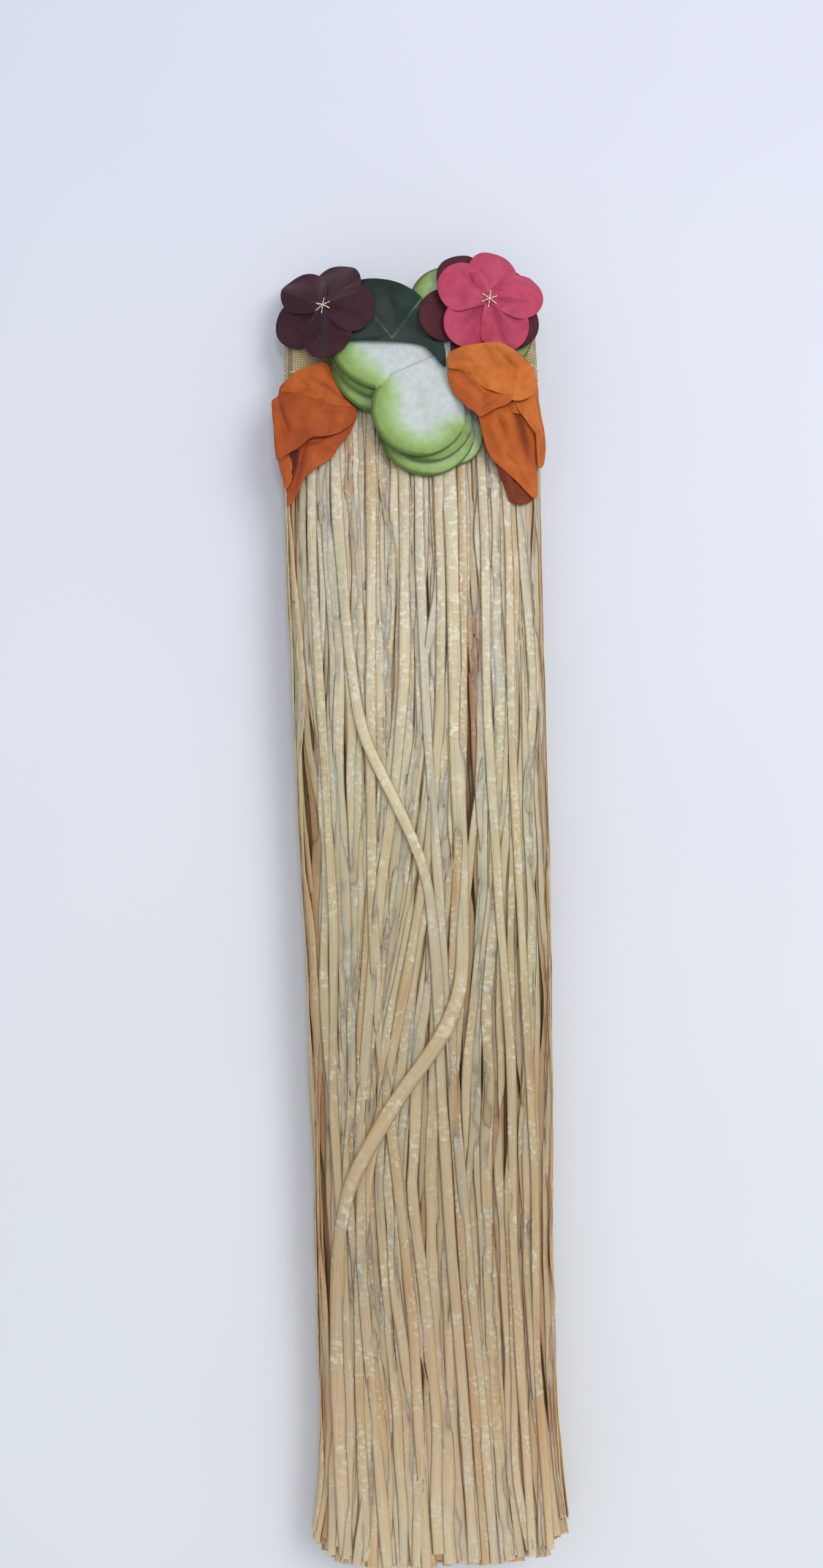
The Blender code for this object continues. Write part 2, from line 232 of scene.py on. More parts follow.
lamp("window", (0.80, 0.55, 1.35), 0.8, 10.7, "FFFDF9")
lamp("glint", (0.05, 0.28, 1.10), 0.14, 1.6, "FFFFFF")
world = bpy.data.worlds.new("bright_room")
world.use_nodes = True
sky = world.node_tree.nodes["Background"]
sky.inputs["Color"].default_value = linear("EFF1F5")
sky.inputs["Strength"].default_value = 0.72
scene.world = world

# %% [markdown]
# ## The folded ring
# Everything that hangs on the waistband follows one closed path: eight panels, joined at the long sides
# by folds. A fold between neighbouring layers is tight, and one that goes round another is wide. The
# path is written as a function of the share of the way round and the distance below the top edge, so
# that tape and grass agree, and a ribbon that wanders sideways goes round a fold as a real one does.

# %% The bundle across, at each distance below the top edge
SECTIONS = np.array([
    # below, left, right, height, in metres
    (0.0000, 0.0425, 0.0425, 0.0160),
    (0.0150, 0.0428, 0.0428, 0.0170),
    (0.0300, 0.0430, 0.0430, 0.0182),
    (0.0450, 0.0436, 0.0428, 0.0215),
    (0.0650, 0.0440, 0.0426, 0.0240),
    (0.1000, 0.0438, 0.0424, 0.0258),
    (0.1500, 0.0428, 0.0424, 0.0265),
    (0.2100, 0.0414, 0.0422, 0.0262),
    (0.2700, 0.0406, 0.0414, 0.0255),
    (0.3300, 0.0402, 0.0396, 0.0245),
    (0.3800, 0.0400, 0.0398, 0.0235),
    (0.4020, 0.0418, 0.0408, 0.0228),
    (0.4180, 0.0442, 0.0428, 0.0212),
    (0.4320, 0.0462, 0.0446, 0.0190),
])
# The layer in which each panel lies, counted from the top, in order round the ring.
PANEL_LAYERS = np.array((0, 1, 2, 5, 6, 7, 4, 3))
# Whether the fold after each panel lies inside another fold.
TUCKED = np.array((False, True, False, True, False, False, True, False))
LAYER_PITCH = 0.0020
FOLD_OUT = 0.0028
TUCKED_OUT = 0.0012
ROLL = 0.60
ARCH_POWER = 3.0

steps = np.abs(np.roll(PANEL_LAYERS, -1) - PANEL_LAYERS)
fold_lengths = math.pi / 2 * LAYER_PITCH * steps
panel_length = (WAIST_ROUND - fold_lengths.sum()) / LAYERS
panel_starts = np.arange(LAYERS) * panel_length + np.concatenate(([0], np.cumsum(fold_lengths)[:-1]))
print("panel", round(panel_length / MM, 1), "mm, folds", np.round(fold_lengths / MM, 1))


def half_widths(below):
    """How far the bundle reaches to the left and right of its middle line."""
    reach = SECTIONS[:, 0]
    return np.interp(below, reach, SECTIONS[:, 1]), np.interp(below, reach, SECTIONS[:, 2])


def roof(x, below):
    """The height of the bundle's rounded top."""
    left, right = half_widths(below)
    height = np.interp(below, SECTIONS[:, 0], SECTIONS[:, 3])
    share = np.clip(np.abs(x) / np.where(x < 0, left, right), 0, 1)
    return height * (ROLL + (1 - ROLL) * (1 - share**ARCH_POWER) ** (1 / ARCH_POWER))


def layer_height(layer, x, below):
    """The middle of one of the eight layers."""
    return (1 - (layer + 0.5) / LAYERS) * roof(x, below)


def sharp_ring(share, below):
    """A point on the folded ring, before its corners are eased."""
    share, below = np.broadcast_arrays(share, below)
    distance = (share % 1.0) * WAIST_ROUND
    panel = np.searchsorted(panel_starts, distance, side="right") - 1
    into = distance - panel_starts[panel]
    along = np.clip(into / panel_length, 0, 1)
    turn = np.pi * np.clip((into - panel_length) / fold_lengths[panel], 0, 1)
    left, right = half_widths(below)
    left = left - FOLD_OUT
    right = right - FOLD_OUT
    rightward = panel % 2 == 0
    x = np.where(rightward, -left + along * (left + right), right - along * (left + right))
    z = layer_height(PANEL_LAYERS[panel], x, below)
    seat = np.where(rightward, right, -left)
    near = layer_height(PANEL_LAYERS[panel], seat, below)
    far = layer_height(PANEL_LAYERS[(panel + 1) % LAYERS], seat, below)
    out = np.where(TUCKED[panel], TUCKED_OUT, FOLD_OUT) * np.sin(turn)
    fold_x = seat + np.where(rightward, out, -out)
    fold_z = (near + far) / 2 + (near - far) / 2 * np.cos(turn)
    on_panel = into <= panel_length
    return np.where(on_panel, x, fold_x), np.where(on_panel, z, fold_z)


EASE = 0.0009 / WAIST_ROUND


def ring(share, below):
    """A point on the folded ring, its corners eased, and the ring's outward direction there."""
    spots = [sharp_ring(share + i * EASE, below) for i in range(-3, 4)]
    x = sum(spot[0] for spot in spots[1:-1]) / 5
    z = sum(spot[1] for spot in spots[1:-1]) / 5
    run_x = spots[-1][0] - spots[0][0] + spots[-2][0] - spots[1][0]
    run_z = spots[-1][1] - spots[0][1] + spots[-2][1] - spots[1][1]
    size = np.maximum(np.hypot(run_x, run_z), 1e-9)
    return x, z, -run_z / size, run_x / size


# %% [markdown]
# ## Raffia
# The grass is split polypropylene raffia: a milky khaki plastic film drawn into flat ribbons, shiny,
# slightly see-through, with fine lines along it and short pale marks across it where it has been
# crinkled, which are partly whitened film and partly painted highlight. Its colour changes from ribbon
# to ribbon, every ribbon has painted shade along its edges, and the lower ones, lit through those above,
# have that brown painted in as shade. Each ribbon carries its own tone, depth and number, so that one
# material makes them all.

# %% Raffia material
RIBBON_HALF = 2.0  # mm, half of an ordinary ribbon
STREAK = 0.35  # mm between the drawn lines
CRINKLE = 1.6  # mm between crinkles, drawn a little coarse so that they show


def drawn_raffia():
    """Polypropylene raffia, IOR 1.49, satin to shiny, milky inside."""
    material, tree, shader = new_material(
        "drawn_raffia",
        IOR=1.49,
        Coat_Weight=0.15,
        Coat_Roughness=0.22,
        Subsurface_Weight=0.50,
        Subsurface_Radius=(1.0, 0.62, 0.34),
        Subsurface_Scale=0.0020,
    )
    look = add_node(tree, "ShaderNodeSeparateXYZ", {0: read_attribute(tree, "look", "Vector")})
    tone, depth, number = look.outputs[0], look.outputs[1], look.outputs[2]
    across = read_attribute(tree, "across")
    along = read_attribute(tree, "along")
    place = add_node(tree, "ShaderNodeCombineXYZ", {0: across, 1: along, 2: number}).outputs[0]

    def stretched(across_mm, along_mm):
        scale = (RIBBON_HALF / across_mm, 1 / (along_mm * MM), 91.0)
        return add_node(tree, "ShaderNodeMapping", {"Vector": place, "Scale": scale}).outputs[0]

    lines = noise(tree, stretched(STREAK, 16.0), 1.0, 2.0, 0.6)
    drift = noise(tree, stretched(5.0, 45.0), 1.0, 1.0)
    bars = noise(tree, stretched(2.0, CRINKLE), 1.0, 1.0)
    patches = noise(tree, stretched(9.0, 14.0), 1.0, 1.0)
    shade = reckon(tree, "ADD", tone, span(tree, drift, 0.3, 0.7, -0.28, 0.22))
    stops = ((0.0, "D8AC7D"), (0.2, "DBC095"), (0.42, "DFCEA7"), (0.68, "E3D5B2"), (1.0, "DBD2B7"))
    colour = colour_ramp(tree, shade, stops)
    streaked = colour_ramp(tree, lines, ((0.30, "D6CBB8"), (0.62, "FFFFFF")))
    colour = blend_colours(tree, "MULTIPLY", 0.50, colour, streaked)
    # painted shade: each ribbon's edges are warmer and darker, for the shade in the seams between neighbours
    painted_edge_shade = span(tree, reckon(tree, "ABSOLUTE", across), 0.50, 1.0, 0.0, 0.38)
    colour = blend_colours(tree, "MULTIPLY", painted_edge_shade, colour, linear("E2AC76"))
    # painted shade: the lower ribbons are darkened and browned, as the light that reaches them through those
    # above is
    painted_depth_shade = span(tree, depth, 0.0, 0.50, 0.75, 0.0)
    colour = blend_colours(tree, "MULTIPLY", painted_depth_shade, colour, linear("C28A54"))
    down = span(tree, along, 0.05, 0.42)  # from just under the tape to the hem, which is warmest
    stops = (
        (0.08, "EAE6EA"), (0.33, "ECEAE6"), (0.58, "E0D5CD"),
        (0.78, "E3D3CB"), (0.90, "F1DED7"), (1.00, "FFF0EC"),
    )
    warm = colour_ramp(tree, down, stops)
    colour = blend_colours(tree, "MULTIPLY", 1.0, colour, warm)
    marks = span(tree, bars, 0.50, 0.70)
    higher_up = span(tree, along, 0.08, 0.24, 0.12, 0.0)
    where = span(tree, reckon(tree, "ADD", patches, higher_up), 0.44, 0.62)
    crinkled = reckon(tree, "MULTIPLY", marks, where)
    # partly painted highlight: the pale crinkle marks are whitened film and also stand in for glints,
    # strongest on the ribbons on top
    pale = reckon(tree, "MULTIPLY", crinkled, span(tree, depth, 0.3, 0.8, 0.1, 0.62))
    colour = blend_colours(tree, "MIX", pale, colour, linear("EBE3CE"))
    tree.links.new(colour, shader.inputs["Base Color"])
    rough = span(tree, crinkled, 0.0, 1.0, 0.38, 0.20)
    tree.links.new(rough, shader.inputs["Roughness"])
    relief = reckon(tree, "MULTIPLY", bars, span(tree, patches, 0.42, 0.60, 0.25, 1.0))
    relief = reckon(tree, "ADD", relief, reckon(tree, "MULTIPLY", lines, 0.35))
    raise_surface(tree, shader, relief, 0.35 * MM, 0.8)
    return material


raffia = drawn_raffia()

# %% [markdown]
# ## Ribbons from guide lines
# A ribbon repeats hundreds of times along paths that are all different, so Geometry Nodes sweep one
# flat section along guide lines. Each guide point says how wide the ribbon is there, which way its
# flat side faces, and what the material needs.


# %% The node tree that sweeps ribbons
def group_socket(tree, name, kind, where="INPUT"):
    """A named socket on a node group."""
    return tree.interface.new_socket(name, in_out=where, socket_type=kind)


def ribbon_tree():
    """Guide lines in, flat closed ribbons out."""
    tree = bpy.data.node_groups.new("ribbons_along_guides", "GeometryNodeTree")
    group_socket(tree, "Guides", "NodeSocketGeometry")
    sockets = {
        "flatness": group_socket(tree, "Flatness", "NodeSocketFloat").identifier,
        "points": group_socket(tree, "Points Round", "NodeSocketInt").identifier,
        "material": group_socket(tree, "Material", "NodeSocketMaterial").identifier,
    }
    group_socket(tree, "Ribbons", "NodeSocketGeometry", "OUTPUT")
    given = add_node(tree, "NodeGroupInput").outputs
    lie = add_node(tree, "GeometryNodeInputNamedAttribute", {"Name": "lie"}, data_type="FLOAT_VECTOR")
    half = add_node(tree, "GeometryNodeInputNamedAttribute", {"Name": "half"}, data_type="FLOAT")
    path = add_node(tree, "GeometryNodeMeshToCurve", {"Mesh": given["Guides"]})
    links = {"Curve": path.outputs[0], "Normal": lie.outputs[0]}
    faced = add_node(tree, "GeometryNodeSetCurveNormal", links, mode="FREE")
    links = {"Resolution": given["Points Round"], "Radius": 1.0}
    section = add_node(tree, "GeometryNodeCurvePrimitiveCircle", links)
    where = add_node(tree, "GeometryNodeInputPosition")
    parts = add_node(tree, "ShaderNodeSeparateXYZ", {0: where.outputs[0]})
    links = {"Geometry": section.outputs[0], "Name": "across", "Value": parts.outputs[1]}
    marked = add_node(tree, "GeometryNodeStoreNamedAttribute", links, data_type="FLOAT", domain="POINT")
    squash = add_node(tree, "ShaderNodeCombineXYZ", {0: given["Flatness"], 1: 1.0, 2: 1.0})
    links = {"Geometry": marked.outputs[0], "Scale": squash.outputs[0]}
    flat = add_node(tree, "GeometryNodeTransform", links)
    links = {"Curve": faced.outputs[0], "Profile Curve": flat.outputs[0], "Scale": half.outputs[0]}
    swept = add_node(tree, "GeometryNodeCurveToMesh", {**links, "Fill Caps": True})
    smooth = add_node(tree, "GeometryNodeSetShadeSmooth", {"Geometry": swept.outputs[0]})
    real = add_node(tree, "GeometryNodeRealizeInstances", {0: smooth.outputs[0]})
    links = {"Geometry": real.outputs[0], "Material": given["Material"]}
    dressed = add_node(tree, "GeometryNodeSetMaterial", links)
    add_node(tree, "NodeGroupOutput", {0: dressed.outputs[0]})
    return tree, sockets


def grown(name, guides, tree, inputs):
    """Runs a node tree on guide lines and keeps the result as a plain mesh."""
    carrier = bpy.data.objects.new(name + "_guides", guides)
    scene.collection.objects.link(carrier)
    modifier = carrier.modifiers.new("grow", "NODES")
    modifier.node_group = tree
    for identifier, value in inputs.items():
        modifier[identifier] = value
    depsgraph = bpy.context.evaluated_depsgraph_get()
    evaluated = carrier.evaluated_get(depsgraph)
    result = bpy.data.meshes.new_from_object(evaluated, preserve_all_data_layers=True, depsgraph=depsgraph)
    bpy.data.objects.remove(carrier)
    result.name = name
    made = bpy.data.objects.new(name, result)
    scene.collection.objects.link(made)
    print(name, sum(len(p.vertices) - 2 for p in result.polygons), "triangles")
    return made


def guide_lines(name, spots, values, closed=False):
    """A mesh of separate lines. spots is lines by points by 3, and values are carried at each point."""
    lines, points = spots.shape[:2]
    first = np.arange(lines)[:, None] * points
    steps_on = np.arange(points if closed else points - 1)
    edges = np.stack((first + steps_on, first + (steps_on + 1) % points), axis=-1).reshape(-1, 2)
    mesh = bpy.data.meshes.new(name)
    mesh.from_pydata(spots.reshape(-1, 3).tolist(), edges.tolist(), [])
    for key, value in values.items():
        kind, field = ("FLOAT_VECTOR", "vector") if value.ndim == 3 else ("FLOAT", "value")
        layer = mesh.attributes.new(key, kind, "POINT")
        layer.data.foreach_set(field, value.astype(np.float32).ravel())
    return mesh


ribbons, ribbon_sockets = ribbon_tree()

# %% [markdown]
# ## How the ribbons hang
# The ribbons start side by side under the tape and stay roughly parallel, but each wanders a little,
# whole locks of them drift together, and near the middle of the front a lock sweeps to the left over
# the others, which lean a little to the right beneath it. Where neighbours part, narrow dark gaps open
# between them.

# %% Smooth random wandering
rng = np.random.default_rng(27)


def wander(count, below, wavelength):
    """A smooth random walk for each ribbon, mostly between -1 and 1."""
    total = 0
    for part, weight in ((1.0, 0.60), (0.53, 0.35), (0.29, 0.18)):
        phase = rng.uniform(0, 2 * math.pi, (count, 1))
        stretch = rng.uniform(0.8, 1.3, (count, 1))
        total = total + weight * np.sin(2 * math.pi * below / (wavelength * part * stretch) + phase)
    return total


def lock_drift(distance, below):
    """Sideways drift shared by neighbours, in metres."""
    total = 0
    for reach, drop, size in ((0.021, 0.26, 0.9), (0.013, 0.19, 0.6), (0.0083, 0.13, 0.35)):
        phase = rng.uniform(0, 2 * math.pi, 2)
        wave = np.sin(2 * math.pi * distance / reach + phase[0] + 1.7 * np.sin(2 * math.pi * below / drop))
        total = total + size * MM * wave * np.sin(2 * math.pi * below / drop + phase[1])
    return total


def eased(value, low, high):
    """0 below low, 1 above high, and smooth between them."""
    t = np.clip((value - low) / (high - low), 0, 1)
    return t * t * (3 - 2 * t)


# How far the front's ribbons sweep sideways, in millimetres: a row for each distance below the top edge,
# and a column for each starting place across the front. The upper ones go left and the lower ones right.
SWEEP_X = (-40, -25, -12, 0, 12, 25, 40)
UPPER_SWEEP = {
    0: (0, 0, 0, 0, 0, 0, 0),
    95: (0.5, 0.5, 0, 0, 0, 0, 0),
    150: (1.0, 1.0, -1, -3, -3, -1, 0),
    205: (1.0, -1.0, -7, -13, -13, -5, 0),
    250: (0.5, -3.0, -12, -22, -24, -9, -0.5),
    300: (0, -4.0, -14, -26, -29, -11, -1.0),
    370: (0.5, -3.0, -12, -22, -24, -8, -1.0),
    432: (0.5, -2.0, -10, -19, -20, -6, 0),
}
LOWER_SWEEP = {
    0: (0, 0, 0, 0, 0, 0, 0),
    95: (0.5, 0.5, 0.5, 0, 0, 0, 0),
    150: (0.5, 1.5, 1.0, 0.5, 1.0, 0.5, 0),
    205: (1.0, 3.0, 2.5, 1.5, 2.0, 1.5, 0.3),
    250: (1.0, 4.5, 3.5, 1.5, 2.5, 2.0, 0.5),
    300: (1.0, 5.0, 4.5, 2.0, 3.0, 2.5, 0.5),
    370: (0.5, 4.5, 5.0, 3.0, 3.0, 2.5, 0.5),
    432: (0.5, 3.5, 4.5, 3.5, 3.0, 2.5, 0.5),
}


def sweep(table, x, below):
    """How far a table sweeps the front's ribbons, in metres."""
    rows = np.array([np.interp(x[:, 0] / MM, SWEEP_X, row) for row in table.values()])
    places = np.array(list(table)) * MM
    return np.array([np.interp(b, places, rows[:, i]) for i, b in enumerate(below)]) * MM


# %% Lay the ribbons round the ring
RIBBONS_ROUND = 640
PLY = 0.0007  # how far the plies of one layer stand off its middle
TUCK = 0.0012  # of each ribbon's top, hidden in the tape
HEM_X = (0.0, 0.0220, 0.0340, 0.0404, 0.0450)
HEM = (LENGTH, LENGTH - 0.0006, 0.4290, 0.4240, 0.4190)
FLATNESS = 0.10


def ribbons_for(shares, points, front, sunk):
    """Guide lines for the ribbons that hang from these shares of the ring."""
    count = len(shares)
    home = shares[:, None]
    start_x = ring(home, np.full((count, 1), BAND))[0]
    uneven = rng.gamma(1.6, 1.5, (count, 1)) * (1 + 0.9 * eased(np.abs(start_x), 0.033, 0.044))
    hem = np.interp(np.abs(start_x), HEM_X, HEM) - uneven * MM
    below = BAND - TUCK + (hem - BAND + TUCK) * np.linspace(0, 1, points)[None, :]
    ply = rng.uniform(-1, 1, (count, 1))
    free = eased(below, BAND, BAND + 0.050)
    settled = eased(below, BAND - 0.001, BAND + 0.014)
    sideways = wander(count, below, 0.170) * rng.uniform(0.6, 2.3, (count, 1)) * MM
    sideways = sideways + lock_drift(home * WAIST_ROUND, below)
    if front:
        lifted = eased(ply, -0.15, 0.40)
        sideways = sideways + sweep(UPPER_SWEEP, start_x, below) * lifted
        sideways = sideways + sweep(LOWER_SWEEP, start_x, below) * (1 - lifted)
    share = home + free * sideways / WAIST_ROUND
    x, z, out_x, out_z = ring(share, below)
    ripple = wander(count, below, 0.016) * 0.10 * MM
    loosened = 0.68 + 0.44 * eased(below, 0.150, 0.400)
    off = settled * (ply + 0.30 * wander(count, below, 0.110)) * PLY * loosened + ripple * settled
    spots = np.stack((x + out_x * off, np.broadcast_to(BAND_TOP - below, x.shape), z + out_z * off), axis=-1)

    width = rng.choice((2.2, 2.8, 3.4, 4.1, 4.9), (count, 1), p=(0.14, 0.26, 0.28, 0.20, 0.12)) * MM
    turn = np.radians(14) * wander(count, below, 0.120)
    rolled = rng.random((count, 1)) < 0.22
    rolled_at = rng.uniform(0.10, 0.40, (count, 1))
    passing = np.exp(-(((below - rolled_at) / 0.012) ** 2))
    turn = turn + np.where(rolled, np.pi * eased(below, rolled_at - 0.012, rolled_at + 0.012), 0)
    half = width / 2 * (1 + 0.14 * wander(count, below, 0.070))
    half = half * (1 - 0.45 * np.where(rolled, passing, 0)) * (0.72 + 0.28 * settled)
    cos, sin = np.cos(turn), np.sin(turn)
    lie = np.stack((out_x * cos + out_z * sin, np.zeros_like(x), out_z * cos - out_x * sin), axis=-1)
    tone = np.clip(rng.normal(0.58, 0.15, (count, 1)), 0.16, 0.98)
    marks = (tone, (ply + 1) / 2 * (1 - sunk), rng.random((count, 1)))
    look = np.stack([np.broadcast_to(mark, x.shape) for mark in marks], axis=-1)
    return spots, {"lie": lie, "half": half, "along": np.broadcast_to(below, x.shape), "look": look}


def ribbon_inputs(round_points):
    """The ribbon tree's inputs, with so many points round a ribbon's section."""
    values = {"flatness": FLATNESS, "points": round_points, "material": raffia}
    return {ribbon_sockets[key]: value for key, value in values.items()}


def raffia_piece(name, low, high, points, round_points, front=False, sunk=0.0):
    """The ribbons between two shares of the ring, as one piece. The more sunk, the browner the painted shade
    on them.
    """
    places = (np.arange(RIBBONS_ROUND) + 0.5) / RIBBONS_ROUND
    chosen = places[(places >= low) & (places < high)]
    chosen = chosen + rng.uniform(-0.5, 0.5, len(chosen)) / RIBBONS_ROUND
    spots, values = ribbons_for(chosen, points, front, sunk)
    return grown(name, guide_lines(name, spots, values), ribbons, ribbon_inputs(round_points))


grass_front = raffia_piece("grass_front", 0.0, 0.125, 136, 8, front=True)
grass_inner_upper = raffia_piece("grass_inner_upper", 0.125, 0.375, 60, 6, sunk=0.6)
grass_inner_lower = raffia_piece("grass_inner_lower", 0.375, 0.625, 60, 6, sunk=0.6)
grass_outer_folds = raffia_piece("grass_outer_folds", 0.625, 1.0, 60, 6)
grass = [grass_front, grass_inner_upper, grass_inner_lower, grass_outer_folds]

# %% Loose ribbons on top, each laid out one by one
# Each row is a ribbon: its width and tone, then its places across and below, all in millimetres.
LOOSE = (
    (5, 0.66, ((11, 30), (12, 90), (11.5, 150), (12, 200), (11.6, 230), (9.8, 240), (1, 256), (-7.1, 265),
      (-13.5, 274), (-19.8, 285), (-25.9, 294), (-30, 305), (-33, 322), (-34, 350), (-34, 390),
      (-33, 426))),
    (3.8, 0.86, ((-27, 30), (-26, 80), (-24, 115), (-21.5, 139), (-19.4, 151), (-13.5, 163), (-7.5, 176),
      (-3.5, 186), (-0.6, 193), (1.5, 205), (3, 230), (3.5, 270), (5, 320), (8, 370), (10, 429))),
    (3.4, 0.45, ((8, 30), (8, 100), (6, 150), (1, 190), (-6, 225), (-14, 262), (-21, 292), (-26, 330),
      (-27, 370), (-26, 428))),
    (3.8, 0.72, ((-3, 30), (-4, 90), (-5, 130), (-9, 165), (-15, 200), (-20, 240), (-24, 280), (-25, 330),
      (-22, 380), (-19, 430))),
    (3, 0.25, ((16, 30), (15.5, 90), (14, 150), (11, 190), (8, 228), (7, 270), (9, 330), (12, 380),
      (14, 430))),
    (3.2, 0.66, ((22, 30), (23, 90), (22, 140), (24, 200), (27, 260), (26, 320), (28, 380), (30, 428))),
    (3.6, 0.52, ((-14, 30), (-15, 90), (-17, 150), (-18, 200), (-17, 250), (-12, 300), (-8, 350),
      (-6, 431))),
    (3.3, 0.86, ((2, 30), (1, 90), (2, 150), (5, 220), (8, 280), (12, 340), (15, 390), (17, 430))),
    (3, 0.38, ((30, 30), (31, 90), (30, 150), (32, 230), (34, 300), (33, 360), (36, 426))),
    (3.1, 0.58, ((-34, 30), (-35, 90), (-33, 150), (-31, 210), (-33, 270), (-31, 330), (-30, 380),
      (-33, 427))),
)
LOOSE_POINTS = 150
LOOSE_RISE = 0.0005
# Where the first ribbons lie clear on top of all the others: between these distances below, in metres.
ON_TOP = {0: (0.238, 0.300), 1: (0.145, 0.196)}
ON_TOP_RISE = 0.0016


def loose_ribbons():
    """Guide lines through the places above, on top of the front."""
    count = len(LOOSE)
    along = np.linspace(0, 1, LOOSE_POINTS)
    below = np.zeros((count, LOOSE_POINTS))
    x = np.zeros((count, LOOSE_POINTS))
    for i, (width, tone, places) in enumerate(LOOSE):
        places = np.array(places, float) * MM
        below[i] = BAND - TUCK + (places[-1, 1] - BAND + TUCK) * along
        x[i] = np.interp(below[i], places[:, 1], places[:, 0])
    for _ in range(10):
        x[:, 1:-1] = (x[:, :-2] + 2 * x[:, 1:-1] + x[:, 2:]) / 4
    settled = eased(below, BAND - 0.001, BAND + 0.014)
    weave = settled * (LOOSE_RISE + 0.35 * wander(count, below, 0.090) * MM)
    for i, (begin, end) in ON_TOP.items():
        clear = eased(below[i], begin - 0.010, begin + 0.004) - eased(below[i], end - 0.004, end + 0.016)
        weave[i] = weave[i] * (1 - clear) + ON_TOP_RISE * clear
    z = layer_height(0, x, below) + 0.5 * MM * settled + weave
    slope = (roof(x + MM, below) - roof(x - MM, below)) / (2 * MM)
    turn = np.radians(9) * wander(count, below, 0.110) - np.arctan(slope)
    lie = np.stack((np.sin(turn), np.zeros_like(x), np.cos(turn)), axis=-1)
    widths = np.array([row[0] for row in LOOSE])[:, None] * MM
    half = widths / 2 * (1 + 0.10 * wander(count, below, 0.080)) * (0.72 + 0.28 * settled)
    tones = np.array([row[1] for row in LOOSE])[:, None]
    numbers = (np.arange(count)[:, None] + 0.5) / count
    look = np.stack([np.broadcast_to(v, x.shape) for v in (tones, np.ones_like(tones), numbers)], axis=-1)
    spots = np.stack((x, BAND_TOP - below, z), axis=-1)
    return spots, {"lie": lie, "half": half, "along": below, "look": look}


loose_spots, loose_values = loose_ribbons()
loose_guides = guide_lines("grass_loose", loose_spots, loose_values)
grass_loose = grown("grass_loose", loose_guides, ribbons, ribbon_inputs(8))
grass.append(grass_loose)

# %% [markdown]
# ## Waistband
# The tops of the ribbons are caught in a doubled cotton tape, woven in a plain weave and sewn along
# both edges. It is one closed ring, so it is built as a wall that follows the folded ring's path.


# %% Woven tape
TAPE_THREAD = 0.9  # mm between threads, about twice the real pitch so that the weave shows


def woven_tape():
    """Unbleached cotton tape: matt, with a plain weave."""
    material, tree, shader = new_material("woven_cotton_tape", Roughness=0.85, Sheen_Weight=0.15)
    cut = read_attribute(tree, "cut", "Vector")
    weave = weave_of(tree, cut, TAPE_THREAD * MM)
    slub = noise(tree, cut, 260.0, 3.0)
    colour = colour_ramp(tree, slub, ((0.30, "B9A67E"), (0.55, "C9B894"), (0.75, "D3C5A6")))
    dark = colour_ramp(tree, weave, ((0.0, "B7A88C"), (0.5, "FFFFFF")))
    colour = blend_colours(tree, "MULTIPLY", 0.8, colour, dark)
    tree.links.new(colour, shader.inputs["Base Color"])
    raise_surface(tree, shader, weave, 0.25 * MM)
    return material


TAPE_WALL = 0.0014
TAPE_ROUND = 420
TAPE_ROWS = 9


def tape_ring():
    """The tape as a closed wall with rounded edges."""
    shares = np.arange(TAPE_ROUND) / TAPE_ROUND
    drops = np.linspace(0, BAND, TAPE_ROWS)
    rim = TAPE_WALL * 0.35
    outline = [(drop, 1.0) for drop in np.clip(drops, rim, BAND - rim)]
    outline += [(BAND, 0.35), (BAND, -0.35)]
    outline += [(drop, -1.0) for drop in np.clip(drops, rim, BAND - rim)[::-1]]
    outline += [(0.0, -0.35), (0.0, 0.35)]
    drop = np.array([o[0] for o in outline])[None, :]
    push = np.array([o[1] for o in outline])[None, :]
    pucker = 0.18 * MM * np.sin(2 * math.pi * shares[:, None] * 190) * np.sin(math.pi * drop / BAND) ** 2
    x, z, out_x, out_z = ring(shares[:, None], np.broadcast_to(drop, (TAPE_ROUND, drop.shape[1])))
    off = push * TAPE_WALL / 2 + pucker
    spots = np.stack((x + out_x * off, np.broadcast_to(BAND_TOP - drop, x.shape), z + out_z * off), axis=-1)
    columns = spots.shape[1]
    i, j = np.meshgrid(np.arange(TAPE_ROUND), np.arange(columns), indexing="ij")
    k, m = (i + 1) % TAPE_ROUND, (j + 1) % columns
    faces = np.stack((i * columns + j, i * columns + m, k * columns + m, k * columns + j), axis=-1)
    mesh = bpy.data.meshes.new("waistband")
    mesh.from_pydata(spots.reshape(-1, 3).tolist(), [], faces.reshape(-1, 4).tolist())
    around = np.broadcast_to(shares[:, None] * WAIST_ROUND, x.shape)
    cut = np.stack((around, np.broadcast_to(drop, x.shape), off), axis=-1)
    layer = mesh.attributes.new("cut", "FLOAT_VECTOR", "POINT")
    layer.data.foreach_set("vector", cut.astype(np.float32).ravel())
    mesh.shade_smooth()
    mesh.materials.append(woven_tape())
    return mesh


def put(mesh):
    """A mesh as an object of the same name, at the origin."""
    made = bpy.data.objects.new(mesh.name, mesh)
    scene.collection.objects.link(made)
    return made


waistband = put(tape_ring())


# %% Stitches
def sewing_thread():
    """Spun polyester thread, slightly glossy, with its twist showing as a fine mottle."""
    material, tree, shader = new_material("spun_polyester_thread", Roughness=0.55, Sheen_Weight=0.2)
    place = add_node(tree, "ShaderNodeTexCoord").outputs["Object"]
    twist = noise(tree, place, 2600.0, 1.0)
    colour = colour_ramp(tree, twist, ((0.3, "C9BC9F"), (0.7, "EDE6D4")))
    tree.links.new(colour, shader.inputs["Base Color"])
    raise_surface(tree, shader, twist, 0.08 * MM)
    return material


